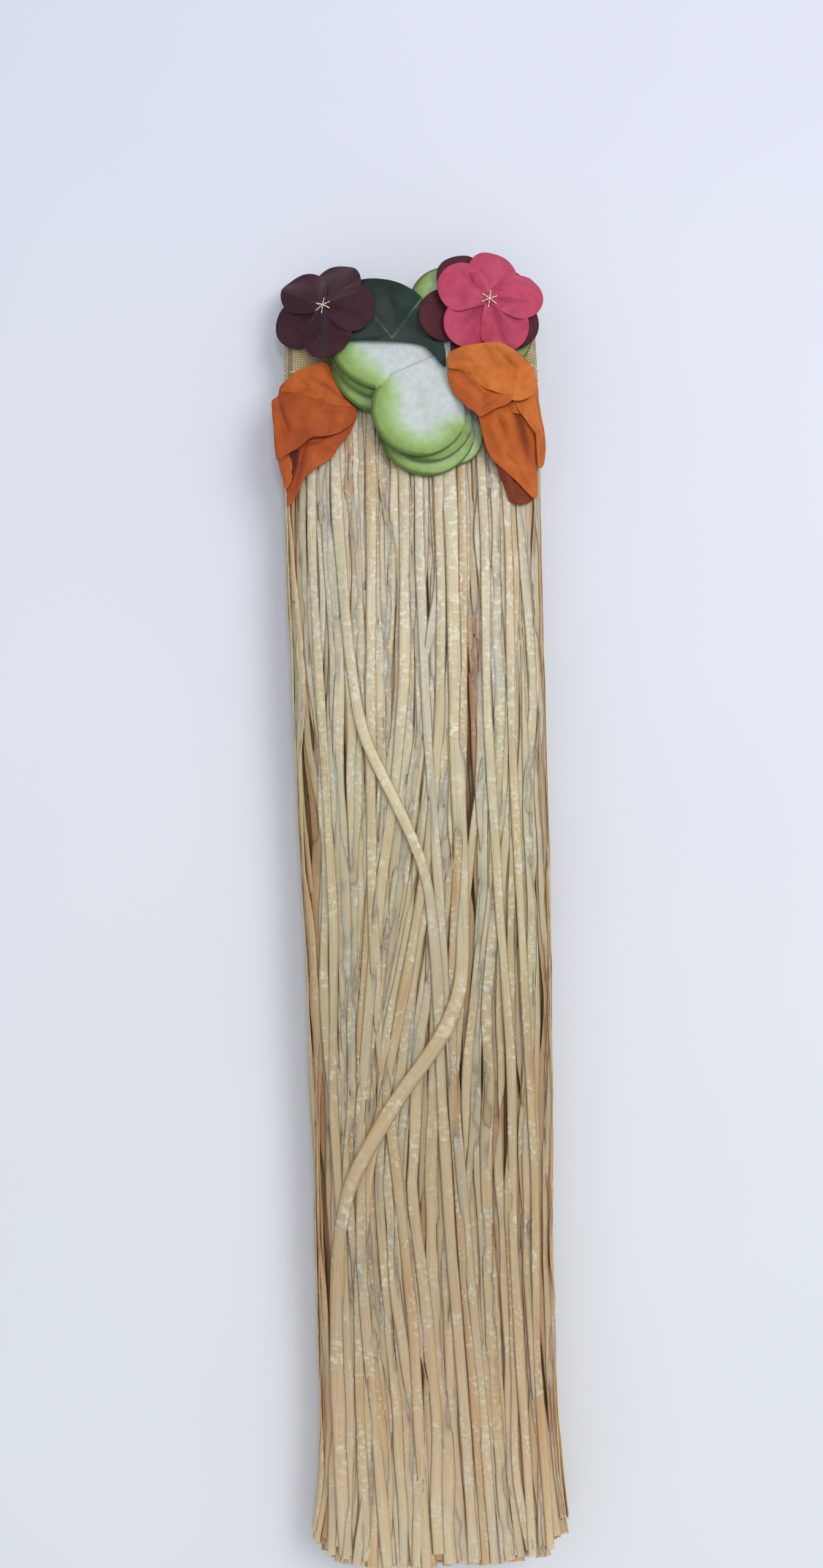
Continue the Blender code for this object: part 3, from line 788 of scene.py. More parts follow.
def stitch_tree():
    """Seam lines in, a row of stitches out, each lying along the seam."""
    tree = bpy.data.node_groups.new("stitches_along_seams", "GeometryNodeTree")
    group_socket(tree, "Seams", "NodeSocketGeometry")
    sockets = {
        "pitch": group_socket(tree, "Pitch", "NodeSocketFloat").identifier,
        "length": group_socket(tree, "Stitch Length", "NodeSocketFloat").identifier,
        "thread": group_socket(tree, "Thread Width", "NodeSocketFloat").identifier,
        "material": group_socket(tree, "Material", "NodeSocketMaterial").identifier,
    }
    group_socket(tree, "Stitches", "NodeSocketGeometry", "OUTPUT")
    given = add_node(tree, "NodeGroupInput").outputs
    seam = add_node(tree, "GeometryNodeMeshToCurve", {"Mesh": given["Seams"]})
    links = {"Curve": seam.outputs[0], "Length": given["Pitch"]}
    even = add_node(tree, "GeometryNodeResampleCurve", links, mode="LENGTH")
    ball = add_node(tree, "GeometryNodeMeshUVSphere", {"Segments": 6, "Rings": 5, "Radius": 0.5})
    links = {0: given["Stitch Length"], 1: given["Thread Width"], 2: given["Thread Width"]}
    size = add_node(tree, "ShaderNodeCombineXYZ", links)
    stitch = add_node(tree, "GeometryNodeTransform", {"Geometry": ball.outputs[0], "Scale": size.outputs[0]})
    lie = add_node(tree, "GeometryNodeInputNamedAttribute", {"Name": "lie"}, data_type="FLOAT_VECTOR")
    tangent = add_node(tree, "GeometryNodeInputTangent")
    links = {0: lie.outputs[0], 1: tangent.outputs[0]}
    turn = add_node(tree, "FunctionNodeAxesToRotation", links, primary_axis="Z", secondary_axis="X")
    links = {"Points": even.outputs[0], "Instance": stitch.outputs[0], "Rotation": turn.outputs[0]}
    row = add_node(tree, "GeometryNodeInstanceOnPoints", links)
    real = add_node(tree, "GeometryNodeRealizeInstances", {0: row.outputs[0]})
    smooth = add_node(tree, "GeometryNodeSetShadeSmooth", {"Geometry": real.outputs[0]})
    links = {"Geometry": smooth.outputs[0], "Material": given["Material"]}
    dressed = add_node(tree, "GeometryNodeSetMaterial", links)
    add_node(tree, "NodeGroupOutput", {0: dressed.outputs[0]})
    return tree, sockets


stitching, stitch_sockets = stitch_tree()
thread = sewing_thread()


def sewn(name, seams, lies, pitch, length, width, closed=False):
    """Stitches along seam lines."""
    values = {"pitch": pitch, "length": length, "thread": width, "material": thread}
    inputs = {stitch_sockets[key]: value for key, value in values.items()}
    return grown(name, guide_lines(name, seams, {"lie": lies}, closed), stitching, inputs)


SEAM_DROPS = (0.0040, 0.0255)  # of the two rows, below the tape's top edge
SEAM_POINTS = 600
seam_shares = (np.arange(SEAM_POINTS) / SEAM_POINTS)[None, :]
seam_drop = np.array(SEAM_DROPS)[:, None]
x, z, out_x, out_z = ring(seam_shares, np.broadcast_to(seam_drop, (len(SEAM_DROPS), SEAM_POINTS)))
off = TAPE_WALL / 2 + 0.00005
seams = np.stack((x + out_x * off, np.broadcast_to(BAND_TOP - seam_drop, x.shape), z + out_z * off), axis=-1)
lies = np.stack((out_x, np.zeros_like(x), out_z), axis=-1)
waistband_stitches = sewn(
    "waistband_stitches", seams, lies, pitch=3.4 * MM, length=2.6 * MM, width=0.55 * MM, closed=True
)

# %% [markdown]
# ## Cloth for the flowers
# The flowers and the leaf are thin printed polyester. Each petal is a sheet that lies on whatever is
# beneath it, so its height is read off the imported solid that holds its place, and creases are added one
# by one: soft troughs and ridges along lines, as uneven as in real cloth.

# %% Heights from the imported solids
CELL = 0.001
MAP_X = np.arange(-0.060, 0.0601, CELL)
MAP_Y = np.arange(BAND_TOP - 0.095, BAND_TOP + 0.030, CELL)


def top_of(node):
    """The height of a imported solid's upper side over the table, spread out past its edge."""
    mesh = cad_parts[node].data
    solid = BVHTree.FromPolygons([v.co for v in mesh.vertices], [list(p.vertices) for p in mesh.polygons])
    field = np.full((len(MAP_Y), len(MAP_X)), np.nan)
    down = Vector((0, 0, -1))
    for i, y in enumerate(MAP_Y):
        for j, x in enumerate(MAP_X):
            hit = solid.ray_cast(Vector((x, y, 0.2)), down)[0]
            if hit is not None:
                field[i, j] = hit.z
    while np.isnan(field).any():
        padded = np.pad(field, 1, constant_values=np.nan)
        shifts = [padded[1 + a : padded.shape[0] - 1 + a, 1 + b : padded.shape[1] - 1 + b]
                  for a, b in ((1, 0), (-1, 0), (0, 1), (0, -1))]
        stack = np.array(shifts)
        known = ~np.isnan(stack)
        near = np.where(known, stack, 0).sum(0) / np.maximum(known.sum(0), 1)
        field = np.where(np.isnan(field) & known.any(0), near, field)
    for _ in range(2):
        padded = np.pad(field, 1, mode="edge")
        field = (padded[:-2, 1:-1] + padded[2:, 1:-1] + padded[1:-1, :-2] + padded[1:-1, 2:] + 2 * field) / 6
    return field


def height_on(field, x, y):
    """The field's height between its cells."""
    column = np.clip((x - MAP_X[0]) / CELL, 0, len(MAP_X) - 1.001)
    row = np.clip((y - MAP_Y[0]) / CELL, 0, len(MAP_Y) - 1.001)
    i, j = row.astype(int), column.astype(int)
    u, v = row - i, column - j
    low = field[i, j] * (1 - v) + field[i, j + 1] * v
    high = field[i + 1, j] * (1 - v) + field[i + 1, j + 1] * v
    return low * (1 - u) + high * u


# %% Cloth patches
def rounded(outline, count=120):
    """A closed outline in millimetres with its corners just eased, in even steps, in metres."""
    points = np.array(outline, float) * MM
    for _ in range(2):
        after = np.roll(points, -1, 0)
        points = np.stack((0.82 * points + 0.18 * after, 0.18 * points + 0.82 * after), axis=1).reshape(-1, 2)
    closed = np.vstack((points, points[:1]))
    travelled = np.concatenate(([0], np.cumsum(np.hypot(*np.diff(closed, axis=0).T))))
    wanted = np.linspace(0, travelled[-1], count, endpoint=False)
    return np.stack([np.interp(wanted, travelled, closed[:, axis]) for axis in (0, 1)], axis=-1)


def area_of(outline):
    """The flat area inside an outline."""
    after = np.roll(outline, -1, 0)
    return abs((outline[:, 0] * after[:, 1] - after[:, 0] * outline[:, 1]).sum()) / 2


def fold_lines(x, y, creases):
    """The height that creases add, and how deep in one a point lies, which the cloth darkens by as painted
    shade. Each of the creases is a line in millimetres with a height and a width, and a height below zero
    makes a trough."""
    height = np.zeros_like(x)
    shade = np.zeros_like(x)
    for x0, y0, x1, y1, rise, width in creases:
        start = np.array((x0, y0)) * MM
        run = np.array((x1, y1)) * MM - start
        size = np.hypot(*run)
        along = np.clip(((x - start[0]) * run[0] + (y - start[1]) * run[1]) / size**2, -0.15, 1.15)
        gap = np.hypot(x - start[0] - along * run[0], y - start[1] - along * run[1])
        fade = np.sin(np.pi * np.clip((along + 0.15) / 1.3, 0, 1)) ** 0.7
        bell = np.exp(-((gap / (width * MM)) ** 1.5)) * fade
        height = height + rise * MM * bell
        shade = shade - np.sign(rise) * min(abs(rise), 1.5) * bell
    return height, shade


PATCH_RINGS = 16
cuts = {}  # each cloth's node, flat width and length, and flat area
CLOTH = 0.00030  # the cloth's own thickness
PETAL_SHIFT = 0.013  # between the places that petals read their mottling from, so that none match


def crumples(x, y, size, seed):
    """Flat facets between straight folds, as crushed cloth has, up to about size high."""
    draw = np.random.default_rng(seed)
    total = np.zeros_like(x)
    for weight in (0.45, 0.33, 0.22):
        angle = draw.uniform(0, math.pi)
        apart = draw.uniform(0.007, 0.014)
        step = (x * math.cos(angle) + y * math.sin(angle)) / apart + draw.uniform()
        total += weight * (2 * np.abs((step % 1) - 0.5) - 0.5)
    return size * total


def patch(outline, middle, field, creases=(), lift=0.0, edge_rise=0.0, ruffle=(0, 0.0, 0.0), axis=None,
          rim=None, painted_shading=0.5, crush=0.0, seed=1, rings=PATCH_RINGS):
    """One petal as points, faces and what its material reads. The cloth spreads from middle to outline."""
    share = np.linspace(0, 1, rings)[1:] ** 0.9
    share[-1] = 1.0
    spokes = len(outline)
    grid = middle + share[:, None, None] * (outline - middle)[None, :, :]
    x = np.concatenate(([middle[0]], grid[..., 0].ravel()))
    y = np.concatenate(([middle[1]], grid[..., 1].ravel()))
    out = np.concatenate(([0.0], np.repeat(share, spokes)))
    spoke = np.concatenate(([0.0], np.tile(np.arange(spokes) / spokes, len(share))))
    rise, shade = fold_lines(x, y, creases)
    waves, size, phase = ruffle
    curl = size * MM * out**2 * np.sin(2 * np.pi * (waves * spoke + phase)) + edge_rise * MM * out**3
    z = height_on(field, x, y) + lift * MM + rise + curl + crumples(x, y, crush * MM, seed)
    reach = np.concatenate(([1.0], np.tile(np.hypot(*(outline - middle).T), len(share))))
    edge = (1 - out) * reach if rim is None else rim(x, y)
    axis = np.array((0.0, -1.0)) if axis is None else axis
    along = (x - middle[0]) * axis[0] + (y - middle[1]) * axis[1]
    sideways = -(x - middle[0]) * axis[1] + (y - middle[1]) * axis[0]
    faces = [(0, 1 + j, 1 + (j + 1) % spokes) for j in range(spokes)]
    for i in range(len(share) - 1):
        a, b = 1 + i * spokes, 1 + (i + 1) * spokes
        faces += [(a + j, b + j, b + (j + 1) % spokes, a + (j + 1) % spokes) for j in range(spokes)]
    marks = {"edge": edge, "crease_shade": shade, "painted_shading": np.full_like(x, painted_shading)}
    threads = np.stack((along, sideways, z), axis=-1)
    return np.stack((x, y, z), axis=-1), faces, marks, threads, area_of(outline)


def cloth_piece(node, patches, material):
    """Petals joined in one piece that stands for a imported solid, given the thickness of cloth."""
    name = node + "_cloth"
    spots, faces, marks, threads, area, first = [], [], {}, [], 0.0, 0
    for number, (points, patch_faces, patch_marks, patch_threads, patch_area) in enumerate(patches):
        faces += [tuple(v + first for v in face) for face in patch_faces]
        spots.append(points)
        threads.append(patch_threads + (0, 0, PETAL_SHIFT * number))
        for key, value in patch_marks.items():
            marks.setdefault(key, []).append(value)
        area += patch_area
        first += len(points)
    mesh = bpy.data.meshes.new(name)
    mesh.from_pydata(np.concatenate(spots).tolist(), [], faces)
    for key, value in marks.items():
        layer = mesh.attributes.new(key, "FLOAT", "POINT")
        layer.data.foreach_set("value", np.concatenate(value).astype(np.float32))
    layer = mesh.attributes.new("thread", "FLOAT_VECTOR", "POINT")
    layer.data.foreach_set("vector", np.concatenate(threads).astype(np.float32).ravel())
    bm = bmesh.new()
    bm.from_mesh(mesh)
    for face in bm.faces:
        if face.normal.z < 0:
            face.normal_flip()
    bm.to_mesh(mesh)
    bm.free()
    mesh.materials.append(material)
    carrier = put(mesh)
    wall = carrier.modifiers.new("cloth", "SOLIDIFY")
    wall.thickness = CLOTH
    wall.offset = -1.0
    depsgraph = bpy.context.evaluated_depsgraph_get()
    evaluated = carrier.evaluated_get(depsgraph)
    solid = bpy.data.meshes.new_from_object(evaluated, preserve_all_data_layers=True, depsgraph=depsgraph)
    bpy.data.objects.remove(carrier)
    bpy.data.meshes.remove(mesh)
    solid.name = name
    solid.shade_smooth()
    made = put(solid)
    flat = np.concatenate(spots)[:, :2]
    cuts[made] = (node, float(np.ptp(flat[:, 0])), float(np.ptp(flat[:, 1])), float(area))
    print(name, len(solid.polygons), "faces, cut", [round(v / MM, 1) for v in cuts[made][1:3]])
    return made


def teardrop(middle, bearing, stand_off, radius, count=64):
    """A round petal that narrows to the flower's middle: its outline, its own middle and its direction."""
    axis = np.array((math.cos(math.radians(bearing)), math.sin(math.radians(bearing))))
    across = np.array((-axis[1], axis[0]))
    centre = np.array(middle) + stand_off * axis
    angles = np.linspace(0, 2 * np.pi, count, endpoint=False)
    ahead, aside = np.cos(angles), np.sin(angles)
    reach = np.where(ahead < 0, -ahead, 0) ** 2
    length = radius * (1 - reach) + reach * (stand_off + 0.0015)
    waist = 1 - 0.55 * reach
    outline = centre + length[:, None] * ahead[:, None] * axis + radius * (aside * waist)[:, None] * across
    return outline, centre, axis


# %% [markdown]
# ## Cloth materials
# All the flower cloth is thin woven polyester, dyed or printed. The white flower is printed: white in
# the middle, lime green towards the edge, with a thin dark line along the cut edge that is partly the
# hot knife's seal and partly painted shade of the step down to the petal beneath.


# %% Flower cloth materials
WEAVE = 0.55  # mm between threads, twice the real pitch so that it shows


def flower_cloth(name, stops, factor, deep, **constants):
    """Woven polyester. stops colours it by factor(tree), and painted shade darkens the troughs of its creases
    towards deep.
    """
    usual = {"Roughness": 0.68, "Specular_IOR_Level": 0.3, "Sheen_Weight": 0.08, "Sheen_Roughness": 0.4}
    material, tree, shader = new_material(name, **{**usual, **constants})
    cut = read_attribute(tree, "thread", "Vector")
    colour = colour_ramp(tree, factor(tree, cut), stops)
    crease_shade = read_attribute(tree, "crease_shade")
    # painted shade: the troughs of creases are darkened towards the deep colour
    colour = blend_colours(tree, "MIX", span(tree, crease_shade, 0.05, 1.3, 0.0, 0.75), colour, linear(deep))
    weave = weave_of(tree, cut, WEAVE * MM, Distortion=0.4, Detail=1.0)
    grain = colour_ramp(tree, weave, ((0.0, "D9D9D9"), (0.6, "FFFFFF")))
    colour = blend_colours(tree, "MULTIPLY", 0.55, colour, grain)
    slub = noise(tree, cut, 420.0, 3.0)
    uneven = colour_ramp(tree, slub, ((0.3, "DCDCDC"), (0.65, "FFFFFF")))
    colour = blend_colours(tree, "MULTIPLY", 0.5, colour, uneven)
    tree.links.new(colour, shader.inputs["Base Color"])
    soft = noise(tree, cut, 130.0, 2.0)
    threads = reckon(tree, "MULTIPLY", weave, 0.10)
    height = reckon(tree, "ADD", threads, reckon(tree, "MULTIPLY", soft, 0.4))
    raise_surface(tree, shader, height, 0.6 * MM, 0.5)
    return material


def by_mottle(tree, cut):
    """Dye that took unevenly."""
    return noise(tree, cut, 75.0, 3.0, 0.55)


def by_painted_shading(tree, cut):
    """How deep each petal's painted shade is, from one thin layer lit through to cloth folded in shade, with
    the dyeing a little uneven.
    """
    uneven = span(tree, noise(tree, cut, 90.0, 3.0), 0.3, 0.7, -0.10, 0.10)
    return reckon(tree, "ADD", read_attribute(tree, "painted_shading"), uneven)


def by_edge(tree, cut):
    """Distance from the cut edge, 12 mm to the whole ramp, blurred by the print, and moved lighter inside the
    edge line by each petal's painted light.
    """
    edge = read_attribute(tree, "edge")
    blur = span(tree, noise(tree, cut, 110.0, 2.0), 0.3, 0.7, -0.0010, 0.0010)
    inside = span(tree, edge, 0.0004, 0.0030)
    printed = span(tree, reckon(tree, "ADD", edge, reckon(tree, "MULTIPLY", blur, inside)), 0.0, 0.012)
    # painted light: petals that lie in shade under the others are moved towards the white end of the ramp
    painted_light = reckon(tree, "MULTIPLY", read_attribute(tree, "painted_shading"), span(tree, edge, 0.0004, 0.0012))
    return reckon(tree, "ADD", printed, painted_light)


# The printed green from the sealed edge inwards, fading to white; its darkest first stops are partly painted
# shade at the edge.
green_to_white = (
    (0.000, "5B7238"), (0.025, "637C3D"), (0.055, "8CA75C"), (0.280, "A3C27C"),
    (0.520, "BBD0A9"), (0.780, "CCD8D2"), (1.000, "D0DADB"),
)
white_green_cloth = flower_cloth("printed_white_green_polyester", green_to_white, by_edge, deep="8FAE6C")
# From one thin layer that the light shines through to the shade where it is folded on itself, all painted
# into the colour.
oranges = (
    (0.0, "E08A3A"), (0.2, "D47630"), (0.4, "C56322"), (0.6, "AE4E1C"), (0.8, "8C3A18"), (1.0, "5E2412"),
)
orange_cloth = flower_cloth("dyed_orange_polyester", oranges, by_painted_shading, deep="6E2416")
# painted shade: the maroon is deepened past the cloth's own colour, for the shade that lies over it
maroons_in_shade = ((0.25, "310F1D"), (0.5, "3F1525"), (0.75, "4E1E30"))
maroon_cloth = flower_cloth("dyed_maroon_polyester", maroons_in_shade, by_mottle, deep="2A0B16")
# painted shade: the dark red is deepened past the cloth's own colour, for the shade that lies over it
dark_reds_in_shade = ((0.25, "3C0D19"), (0.5, "4D1321"), (0.75, "5B1A2A"))
dark_red_cloth = flower_cloth("dyed_dark_red_polyester", dark_reds_in_shade, by_mottle, deep="2C0812")
pinks = ((0.25, "B23252"), (0.5, "C24464"), (0.75, "CE5A78"))
pink_red_cloth = flower_cloth("dyed_pink_red_polyester", pinks, by_mottle, deep="7A1834")


def leaf_cloth():
    """Dark green polyester with pale printed veins, slightly waxy, its green darkened further as painted
    shade.
    """

    def by_vein(tree, cut):
        parts = add_node(tree, "ShaderNodeSeparateXYZ", {0: cut}).outputs
        ahead = reckon(tree, "SUBTRACT", parts[0], LEAF_FORK[0] * MM)
        aside = reckon(tree, "ABSOLUTE", reckon(tree, "SUBTRACT", parts[1], LEAF_FORK[1] * MM))
        rib_line = reckon(tree, "MULTIPLY", ahead, 0.81)
        off_rib = reckon(tree, "ABSOLUTE", reckon(tree, "SUBTRACT", aside, rib_line))
        rib = span(tree, off_rib, 0.0001, 0.0008, 0.36, 0.0)
        turned = reckon(tree, "ADD", ahead, reckon(tree, "MULTIPLY", aside, 0.55))
        wave = reckon(tree, "SINE", reckon(tree, "MULTIPLY", turned, 2 * math.pi / 0.0044))
        side_vein = span(tree, wave, 0.93, 1.0, 0.0, 0.20)
        mottle = span(tree, noise(tree, cut, 90.0, 3.0), 0.3, 0.7, 0.0, 0.45)
        return reckon(tree, "ADD", reckon(tree, "MAXIMUM", rib, side_vein), mottle)

    # painted shade: the greens are deeper than the cloth's own, for the shade that lies over the leaf
    stops = ((0.0, "122320"), (0.45, "20382F"), (0.75, "5E775C"), (1.0, "93A98A"))
    return flower_cloth("printed_leaf_polyester", stops, by_vein, deep="0F1F19", Roughness=0.55)


LEAF_FORK = (-3.7, 9.2)  # mm, from the leaf's middle to where its two ribs meet: up, and to the left
leaf_green = leaf_cloth()

# %% [markdown]
# ## The white flower
# Three layers of five round petals, each slipped a little below the one above, so that their green rims
# show one under another. The two largest petals are the ones that lie open to view.

# %% White flower
WHITE_MIDDLE = (14.6, 187.9)
# For each layer, the round part of every petal from the lowest to the top one: its middle across and up,
# its radius, and how much lighter it is made, painted light against the shade on the lower petals.
WHITE_LAYERS = {
    "lower": ((13, 203.3, 13, 0.1), (28, 193.2, 12.5, 0.1), (13.6, 159.2, 9.9, 0.3),
        (-9.3, 184.8, 17.4, 0.16), (4.7, 162.3, 16.4, 0.12)),
    "middle": ((13.6, 203.9, 13, 0), (28.4, 193.8, 12.5, 0), (29.2, 174.6, 11.5, 0), (-9.5, 189.7, 17.6, 0),
        (4.9, 165.6, 15.4, 0)),
    "upper": ((12.9, 204.3, 13, 0), (28.8, 194.2, 12.5, 0), (29, 175.2, 11.5, 0), (-9.3, 192.2, 17.6, 0),
        (2.3, 167.9, 16.1, 0)),
}
WHITE_GLOW = np.array((0.0040, 0.0015))  # how far the white is off the middle of a petal
WHITE_CREASES = (
    (-7, 178.5, -15.5, 187, 0.25, 2.2), (2, 176, 6.5, 160, -0.3, 2.6), (10, 180, 12.5, 163, 0.35, 3),
    (-18.5, 201, -6, 196.5, -0.3, 2.4), (20, 200, 24, 207, 0.4, 2), (26, 193, 34, 196, -0.4, 1.8),
    (22, 178, 28, 170, 0.4, 2),
)


def disc_rim(centre, axis, radius):
    """Distance inside the round of a petal, left large towards the flower's middle and whiter to one side."""

    def rim(x, y):
        away = (x - centre[0]) * axis[0] + (y - centre[1]) * axis[1]
        inside = radius - np.hypot(x - centre[0], y - centre[1])
        aside = radius + MM - np.hypot(x - centre[0] - WHITE_GLOW[0], y - centre[1] - WHITE_GLOW[1])
        inside = np.minimum(inside, 0.35 * inside + 0.65 * np.maximum(aside, 0))
        return np.maximum(inside, 0) + np.maximum(-away, 0) * 1.1

    return rim


white_flower = []
for number, (layer, rounds) in enumerate(WHITE_LAYERS.items()):
    field = top_of("flower_white_" + layer)
    petals = []
    for order, (centre_x, centre_y, radius, pale) in enumerate(rounds):
        run_x, run_y = centre_x - WHITE_MIDDLE[0], centre_y - WHITE_MIDDLE[1]
        middle = (WHITE_MIDDLE[0] * MM, WHITE_MIDDLE[1] * MM)
        bearing = math.degrees(math.atan2(run_y, run_x))
        outline, centre, axis = teardrop(middle, bearing, math.hypot(run_x, run_y) * MM, radius * MM)
        petals.append(patch(
            outline, centre, field, WHITE_CREASES, lift=-0.75 + 0.22 * order, edge_rise=-0.25,
            ruffle=(3 + order % 3, 0.22, 0.13 * order + 0.15 * number), axis=axis,
            rim=disc_rim(centre, axis, radius * MM), painted_shading=pale,
        ))
    white_flower.append(cloth_piece("flower_white_" + layer, petals, white_green_cloth))

# %% [markdown]
# ## The leaf
# One leaf lies over the upper petal of the white flower, with two pale ribs that meet at its lower edge
# and a point that hangs down beside the petal.

# %% Leaf
LEAF = (
    (-27.3, 196), (-27.4, 203), (-25.8, 209.6), (-20.5, 213.2), (-12, 213.5), (-4, 211.4), (2.8, 207),
    (7.6, 200.5), (10.6, 193), (11.6, 187), (11.5, 181.2), (9.6, 183.6), (7.4, 186.4), (4.4, 189.6),
    (0, 190.8), (-12, 191.3), (-22, 191.1), (-26, 191.6),
)
LEAF_MIDDLE = (3.0, 196.0)
LEAF_CREASES = (
    (-15.5, 204, -6.6, 192.5, 0.6, 1.4), (3.2, 203.5, -5.9, 193.2, 0.5, 1.4),
    (-23, 208, -18, 194, -0.6, 1.6), (-8, 210, -5.5, 199, -0.7, 1.8), (4, 197, 9.5, 186, 0.6, 1.2),
)
leaf_patch = patch(
    rounded(LEAF), np.array(LEAF_MIDDLE) * MM, top_of("leaf"), LEAF_CREASES,
    lift=-0.4, edge_rise=0.3, ruffle=(5, 0.3, 0.2), axis=np.array((0.0, 1.0)), rings=24,
)
leaf = cloth_piece("leaf", [leaf_patch], leaf_green)

# %% [markdown]
# ## Small flowers
# The maroon, dark red and pink-red flowers have five like petals each, ruffled at their edges, and the
# maroon and pink-red ones a tack of thread through the middle.

# %% Small flowers
# Name, middle, bearing of the first petal, distance of the petals' middles, radius, material.
SMALL_FLOWERS = (
    ("flower_maroon", (-0.0290, BAND_TOP - 0.0060), 205, 0.0094, 0.0084, maroon_cloth),
    ("flower_red_lower", (0.0235, BAND_TOP - 0.0085), 190, 0.0122, 0.0086, dark_red_cloth),
    ("flower_red_upper", (0.0265, BAND_TOP - 0.0065), 225, 0.0100, 0.0084, pink_red_cloth),
)


def spoke_creases(middle, first, reach, count, heights):
    """Folds that run out from a flower's middle, uneven in length and height."""
    creases = []
    for i in range(count):
        angle = math.radians(first + 360 * i / count + 9 * math.sin(2.3 * i))
        out = reach * (0.75 + 0.25 * math.sin(1.7 * i + 1)) / MM
        x, y = middle[0] / MM, middle[1] / MM
        start = 1.8
        ends = (x + out * math.cos(angle), y + out * math.sin(angle))
        begin = (x + start * math.cos(angle), y + start * math.sin(angle))
        creases.append((*begin, *ends, heights[i % len(heights)], 1.1 + 0.4 * math.sin(3.1 * i)))
    return creases


small_flowers = []
tacks = []
for name, middle, first, stand_off, radius, material in SMALL_FLOWERS:
    field = top_of(name)
    creases = spoke_creases(middle, first + 20, stand_off + radius, 10, (0.7, -0.6, 0.45, -0.8, 0.9, -0.5))
    petals = []
    for i in range(5):
        outline, centre, axis = teardrop(middle, first + 72 * i, stand_off, radius, 48)
        ruffle = (4 + i % 2, 0.35 + 0.08 * (i % 3), 0.21 * i)
        lift = -0.80 + 0.16 * ((i * 2) % 5)
        petals.append(patch(
            outline, centre, field, creases, lift=lift, edge_rise=0.2, ruffle=ruffle, axis=axis
        ))
    small_flowers.append(cloth_piece(name, petals, material))
    tacks.append((middle, field))

# %% [markdown]
# ## Crumpled orange flowers
# The two orange flowers were pressed shut, so their petals lie over one another in folds. Each petal is
# drawn as an outline with its own creases, the deepest where the cloth turns under.

# %% Orange flowers
# Each petal is an outline, its middle, its lift, how deep its painted shade is, and its creases, in
# millimetres.
ORANGE_RIGHT_LOWER = (
    (((25.6, 152.7), (27.2, 149.2), (28.6, 145.4), (30.4, 140.4), (31.5, 136.9), (33.7, 136), (36.8, 136),
      (39.4, 137.1), (40.8, 143.2), (38.1, 152), (31.1, 154.5)),
     (34, 146), -1.2, 0.84,
     ((32.5, 150, 34.5, 138, -0.5, 0.9), (36.5, 147, 37.5, 138, 0.4, 0.9))),
    (((20.6, 167.7), (21.9, 163), (23, 157.5), (24.9, 151.9), (27.2, 149.2), (30.9, 146.1), (34.7, 142.9),
      (38, 139.4), (40, 137.5), (41.3, 139.3), (41.3, 143.1), (40.9, 147.7), (41.8, 152.3), (41.6, 160.3),
      (39, 168.7), (36.1, 176.1), (31.6, 178.5), (24.3, 176.4)),
     (32, 158), -0.1, 0.4,
     ((33.6, 167.5, 38.6, 151, -1.7, 1.7), (28.9, 153.7, 34.8, 148.4, -0.4, 0.5),
      (24.6, 163.6, 29.6, 152.8, 0.6, 1.2), (34.8, 148.9, 40.6, 139.3, 0.5, 0.9),
      (30.9, 168.2, 32.2, 154.8, 0.6, 1.2), (27.5, 165, 30, 158, -0.3, 0.6))),
    (((20, 178), (23, 184), (30, 186.5), (36, 185.5), (40.4, 181.5), (42, 175), (42, 168), (40, 164),
      (32, 165), (24, 168)),
     (33, 176), 0, 0.5,
     ((33, 178, 41.5, 180, 0.8, 1.2), (33, 176, 42, 170, -0.8, 1.1))),
    (((31.4, 176.3), (32.4, 170.5), (35, 165.4), (38.2, 161.1), (40.8, 158.4), (42, 154.5), (41.3, 150.7),
      (41.7, 148.3), (42.7, 148.1), (43.7, 149.5), (44.2, 152.2), (44.5, 155.2), (44, 159), (42.8, 163.6),
      (42.2, 168.2), (41.7, 172.8), (41.5, 177.4), (37.9, 181), (34.1, 180.8)),
     (40.2, 166), 0.9, 0.3,
     ((37.7, 171.4, 42.7, 158.3, 0.7, 1), (41, 171.3, 43.8, 156, -0.5, 0.6),
      (43.2, 157, 42.2, 149, -0.5, 0.6), (36.2, 167.5, 41, 160, 0.5, 0.8))),
)
ORANGE_RIGHT_UPPER = (
    (((11.7, 180.8), (12.2, 176.3), (13.8, 172), (16.6, 169.1), (17.8, 167), (20.1, 165.7), (21.9, 163.4),
      (24.6, 164.8), (27.7, 166.3), (31.5, 167.6), (33.1, 169.2), (31.7, 175.8), (26.5, 179), (20.5, 183),
      (16, 183.6)),
     (21.5, 174), -0.8, 0.46,
     ((13.6, 178.1, 21.7, 168.8, 0.6, 1.3), (16.6, 178.8, 24.8, 170.2, -0.5, 0.7),
      (22, 166.3, 28.5, 170, -0.45, 0.6), (19, 169, 21.5, 165.5, 0.35, 0.7))),
    (((11.5, 184.2), (13, 186.3), (16.2, 187.2), (20, 187.7), (24.6, 188.5), (29.4, 188.2), (33.6, 185.9),
      (37, 183.3), (39.6, 181), (41, 178.9), (41.3, 176), (41.5, 172), (39.2, 169.8), (35.4, 168.4),
      (33.1, 168.5), (30.1, 171.1), (27.1, 172), (24.1, 173.2), (21.9, 175.2), (19.8, 178.1), (15.9, 180),
      (11.9, 180.8)),
     (28, 180.5), -0.1, 0.24,
     ((16.1, 186.4, 22.8, 180.5, 0.5, 1.3), (33.1, 168.8, 35.7, 181.3, 0.7, 1),
      (20.7, 188.6, 33.5, 185.2, 0.5, 1.4), (30.3, 169.6, 32.8, 170.6, -0.6, 0.5),
      (24, 176.5, 30.5, 173, 0.4, 1.2), (27, 187, 38, 176.5, -0.5, 0.8), (14, 183.5, 20, 182, -0.35, 0.7),
      (37, 184, 39.5, 172, 0.5, 0.9))),
)
